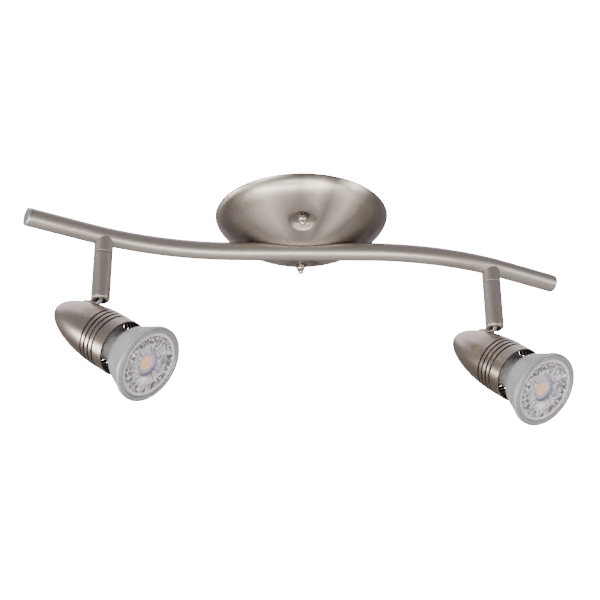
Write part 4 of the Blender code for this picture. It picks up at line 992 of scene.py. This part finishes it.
def build_lens(side, body, place):
    """Front of the lens: a recessed middle, a ring of petals and a plain edge.

    The petals' height is the size of a sine of the angle."""
    radius = np.concatenate([np.linspace(0, 7.6, 15), [7.9, 8.2, 8.5], np.linspace(8.9, 20.0, 42),
                             [20.4, 20.8, 21.3]]) * MM
    turn = np.linspace(0, 2 * math.pi, 433)[:, None]
    petals = sizes().lens_facets
    ring = smooth(radius, 14.0 * MM, 15.5 * MM) * (1 - smooth(radius, 19.0 * MM, 20.0 * MM))
    wave = np.abs(np.sin(turn * petals / 2)) * ring * 0.45 * MM
    inner_ring = smooth(radius, 8.5 * MM, 9.2 * MM) * (1 - smooth(radius, 12.6 * MM, 14.0 * MM))
    swirl = np.abs(np.sin(turn * petals / 3 + radius * 90)) * inner_ring * 0.35 * MM
    bulge = 0.6 * MM * np.maximum(1 - (radius / (7.6 * MM)) ** 2, 0)
    z = -0.75 * MM - 3.0 * MM * (1 - smooth(radius, 7.6 * MM, 8.5 * MM)) + bulge - wave - swirl
    x, y = radius * np.cos(turn), radius * np.sin(turn)
    flat = np.stack(np.broadcast_arrays(x, y), axis=-1)
    skin = Skin().add(np.stack([x, y, z + 0 * x], axis=-1), flat)
    back = np.array([(21.3, -0.75), (21.3, -2.6), (20.1, -3.6), (10.5, -13.0), (6.2, -16.9), (0, -16.9)]) * MM
    cone = around(back, 432)[:, :, [1, 0, 2]]
    skin.add(cone, cone[..., :2])
    skin.place(place)
    skin.piece(side + "_pressed_lens", cached("pressed_lens", lens_glass), body, [side + "_lens"],
               "lens_clear", 50.0)


def paint_inner_parts():
    """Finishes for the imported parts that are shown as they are."""
    finishes = {
        "zinc_steel": zinc_plate,
        "bright_nickel": bright,
        "green_zinc": lambda: cached("green_zinc_plate", lambda n: plated_metal(n, (0.16, 0.36, 0.17), 0.4)),
        "led_phosphor": lambda: cached("phosphor_coat", lambda n: painted(n, (0.94, 0.63, 0.28), 0.5)),
        "ceramic_white": lambda: cached(
            "glazed_ceramic", lambda n: painted(n, (0.82, 0.80, 0.76), 0.5, 0.0, 900.0)),
        "base_white": lambda: cached("base_plastic", lambda n: painted(n, (0.78, 0.78, 0.77), 0.42)),
        "wire_sleeve": lambda: cached("silicone_sleeve", lambda n: painted(n, (0.75, 0.72, 0.66), 0.6)),
        "block_nylon": lambda: cached("natural_nylon", lambda n: painted(n, (0.85, 0.84, 0.80), 0.5)),
    }
    for node in frame["nodes"].values():
        if node.hide_render:
            continue
        name = node.data.materials[0].name.split(".")[0]
        if name in finishes:
            node.data.materials[0] = finishes[name]()


# ------------------------------------------------------------------ stage
def soft_light(name, location, target, size, power, colour=(1, 1, 1)):
    """A rectangular soft light aimed at a point."""
    data = bpy.data.lights.new(name, "AREA")
    data.shape = "RECTANGLE"
    data.size, data.size_y = size
    data.energy = power
    data.color = colour
    light = bpy.data.objects.new(name, data)
    bpy.context.scene.collection.objects.link(light)
    light.location = location
    light.rotation_euler = (Vector(target) - Vector(location)).to_track_quat("-Z", "Y").to_euler()
    return light


def build_stage():
    """Pale floor far below, an even surround and soft lights; the camera looks up from the front."""
    scene = bpy.context.scene
    world = bpy.data.worlds.new("surround")
    scene.world = world
    world.use_nodes = True
    graph = Graph(world.node_tree)
    height = graph.part(graph.node("ShaderNodeTexCoord"), 2)
    share = graph.node("ShaderNodeMapRange", None, {"Value": height, "From Min": -0.25, "From Max": 0.55})
    colour = graph.blend(share, (0.42, 0.33, 0.27), (1.0, 0.96, 1.04))
    lit = graph.node("ShaderNodeBackground", None, {"Color": colour, "Strength": 0.34})
    seen = graph.node("ShaderNodeBackground", None, {"Color": (1.0, 1.0, 1.0), "Strength": 26.0})
    by_camera = graph.node("ShaderNodeLightPath")
    mixed = graph.node("ShaderNodeMixShader", None, {0: by_camera, 1: lit, 2: seen})
    graph.end("ShaderNodeOutputWorld", mixed)
    floor_mesh = bpy.data.meshes.new("floor")
    turn = np.linspace(0, 2 * math.pi, 97)[:-1]
    radius, depth = 6, 1.35
    rim = np.stack([radius * np.cos(turn), radius * np.sin(turn), np.full_like(turn, -depth)], axis=-1)
    floor_mesh.from_pydata(rim, [], [list(range(96))])
    floor = bpy.data.objects.new("floor", floor_mesh)
    scene.collection.objects.link(floor)
    pale = painted("pale_floor", (0.90, 0.89, 0.87), 0.7, 0.0, 20.0, 0.0, 0.01)
    floor_mesh.materials.append(pale)
    middle = (0, 0, -0.06)
    lights = [
        soft_light("low_strip", (-0.1, -0.80, -1.24), middle, (2.8, 0.10), 18.0, (1.0, 0.96, 0.88)),
        soft_light("low_front", (0.05, -1.12, -1.08), middle, (1.3, 0.16), 8.0, (1.0, 0.98, 0.95)),
        soft_light("left_side", (-2.0, 0.06, -0.24), middle, (0.5, 0.6), 17.0, (1.0, 0.96, 0.88)),
        soft_light("left_front", (-1.3, -1.5, -0.20), middle, (0.9, 0.7), 12.0),
        soft_light("right_side", (1.9, -0.75, -0.45), middle, (0.5, 1.1), 11.0, (1.0, 0.98, 0.94)),
        soft_light("overhead", (-0.4, 0.9, 1.9), middle, (3.4, 2.2), 34.0, (1.0, 0.95, 1.0)),
    ]
    build_camera()


def build_camera():
    """Camera in front of and below the bar, tilted up towards the ceiling."""
    turn, rise, roll = math.radians(1.22), math.radians(26.44), math.radians(-0.36)
    forward = Vector((math.sin(turn) * math.cos(rise), math.cos(turn) * math.cos(rise), math.sin(rise)))
    right = Vector((math.cos(turn), -math.sin(turn), 0))
    up = right.cross(forward)
    right, up = (math.cos(roll) * right + math.sin(roll) * up, math.cos(roll) * up - math.sin(roll) * right)
    data = bpy.data.cameras.new("camera")
    data.lens = 83.88
    data.sensor_width = 36.0
    data.clip_start = 0.02
    camera = bpy.data.objects.new("camera", data)
    bpy.context.scene.collection.objects.link(camera)
    matrix = Matrix((right, up, -forward)).transposed().to_4x4()
    aim, distance = Vector((-0.00125, 0.0, -0.0621)), 0.923
    matrix.translation = aim - forward * distance
    camera.matrix_world = matrix
    bpy.context.scene.camera = camera


# ------------------------------------------------------------------ operators and panel
class SPOTLIGHT_OT_canopy(bpy.types.Operator):
    """Build the canopy, its star washers and its domed nuts"""

    bl_idname = "spotlight.canopy"
    bl_label = "Canopy"

    def execute(self, context):
        build_canopy()
        build_nuts()
        return {"FINISHED"}


class SPOTLIGHT_OT_bar(bpy.types.Operator):
    """Build the curved bar, its end plugs and the collars under it"""

    bl_idname = "spotlight.bar"
    bl_label = "Bar"

    def execute(self, context):
        build_bar()
        build_end_caps()
        build_collars()
        return {"FINISHED"}


class SPOTLIGHT_OT_stems(bpy.types.Operator):
    """Build the stems and their hinge screws"""

    bl_idname = "spotlight.stems"
    bl_label = "Stems"

    def execute(self, context):
        build_stems()
        return {"FINISHED"}


class SPOTLIGHT_OT_housings(bpy.types.Operator):
    """Build the lamp housings and their lugs"""

    bl_idname = "spotlight.housings"
    bl_label = "Housings"

    def execute(self, context):
        build_housings()
        build_lugs()
        return {"FINISHED"}


class SPOTLIGHT_OT_lamps(bpy.types.Operator):
    """Build the lamps with their rings and lenses"""

    bl_idname = "spotlight.lamps"
    bl_label = "Lamps"

    def execute(self, context):
        build_lamps()
        return {"FINISHED"}


class SPOTLIGHT_OT_inner_parts(bpy.types.Operator):
    """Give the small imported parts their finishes"""

    bl_idname = "spotlight.inner_parts"
    bl_label = "Inner parts"

    def execute(self, context):
        paint_inner_parts()
        return {"FINISHED"}


class SPOTLIGHT_OT_stage(bpy.types.Operator):
    """Build the floor, the lights and the camera"""

    bl_idname = "spotlight.stage"
    bl_label = "Stage"

    def execute(self, context):
        build_stage()
        return {"FINISHED"}


OPERATORS = (SPOTLIGHT_OT_canopy, SPOTLIGHT_OT_bar, SPOTLIGHT_OT_stems, SPOTLIGHT_OT_housings,
             SPOTLIGHT_OT_lamps, SPOTLIGHT_OT_inner_parts, SPOTLIGHT_OT_stage)


class SPOTLIGHT_PT_panel(bpy.types.Panel):
    """Sizes, colours and the steps that build the spotlight bar"""

    bl_label = "Spotlight bar"
    bl_idname = "SPOTLIGHT_PT_panel"
    bl_space_type = "VIEW_3D"
    bl_region_type = "UI"
    bl_category = "Spotlight bar"

    def draw(self, context):
        layout = self.layout
        for group in (context.scene.spotlight_sizes, context.scene.spotlight_colours):
            box = layout.box()
            for key in group.bl_rna.properties.keys():
                if key not in ("rna_type", "name"):
                    box.prop(group, key)
        for operator in OPERATORS:
            layout.operator(operator.bl_idname)


CLASSES = (SpotlightSizes, SpotlightColours, *OPERATORS, SPOTLIGHT_PT_panel)


def register():
    for cls in CLASSES:
        bpy.utils.register_class(cls)
    bpy.types.Scene.spotlight_sizes = bpy.props.PointerProperty(type=SpotlightSizes)
    bpy.types.Scene.spotlight_colours = bpy.props.PointerProperty(type=SpotlightColours)


def unregister():
    del bpy.types.Scene.spotlight_colours
    del bpy.types.Scene.spotlight_sizes
    for cls in reversed(CLASSES):
        bpy.utils.unregister_class(cls)


def main():
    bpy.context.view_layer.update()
    register()
    bpy.ops.spotlight.canopy()
    bpy.ops.spotlight.bar()
    bpy.ops.spotlight.stems()
    bpy.ops.spotlight.housings()
    bpy.ops.spotlight.lamps()
    bpy.ops.spotlight.inner_parts()
    bpy.ops.spotlight.stage()


if __name__ == "__main__":
    main()
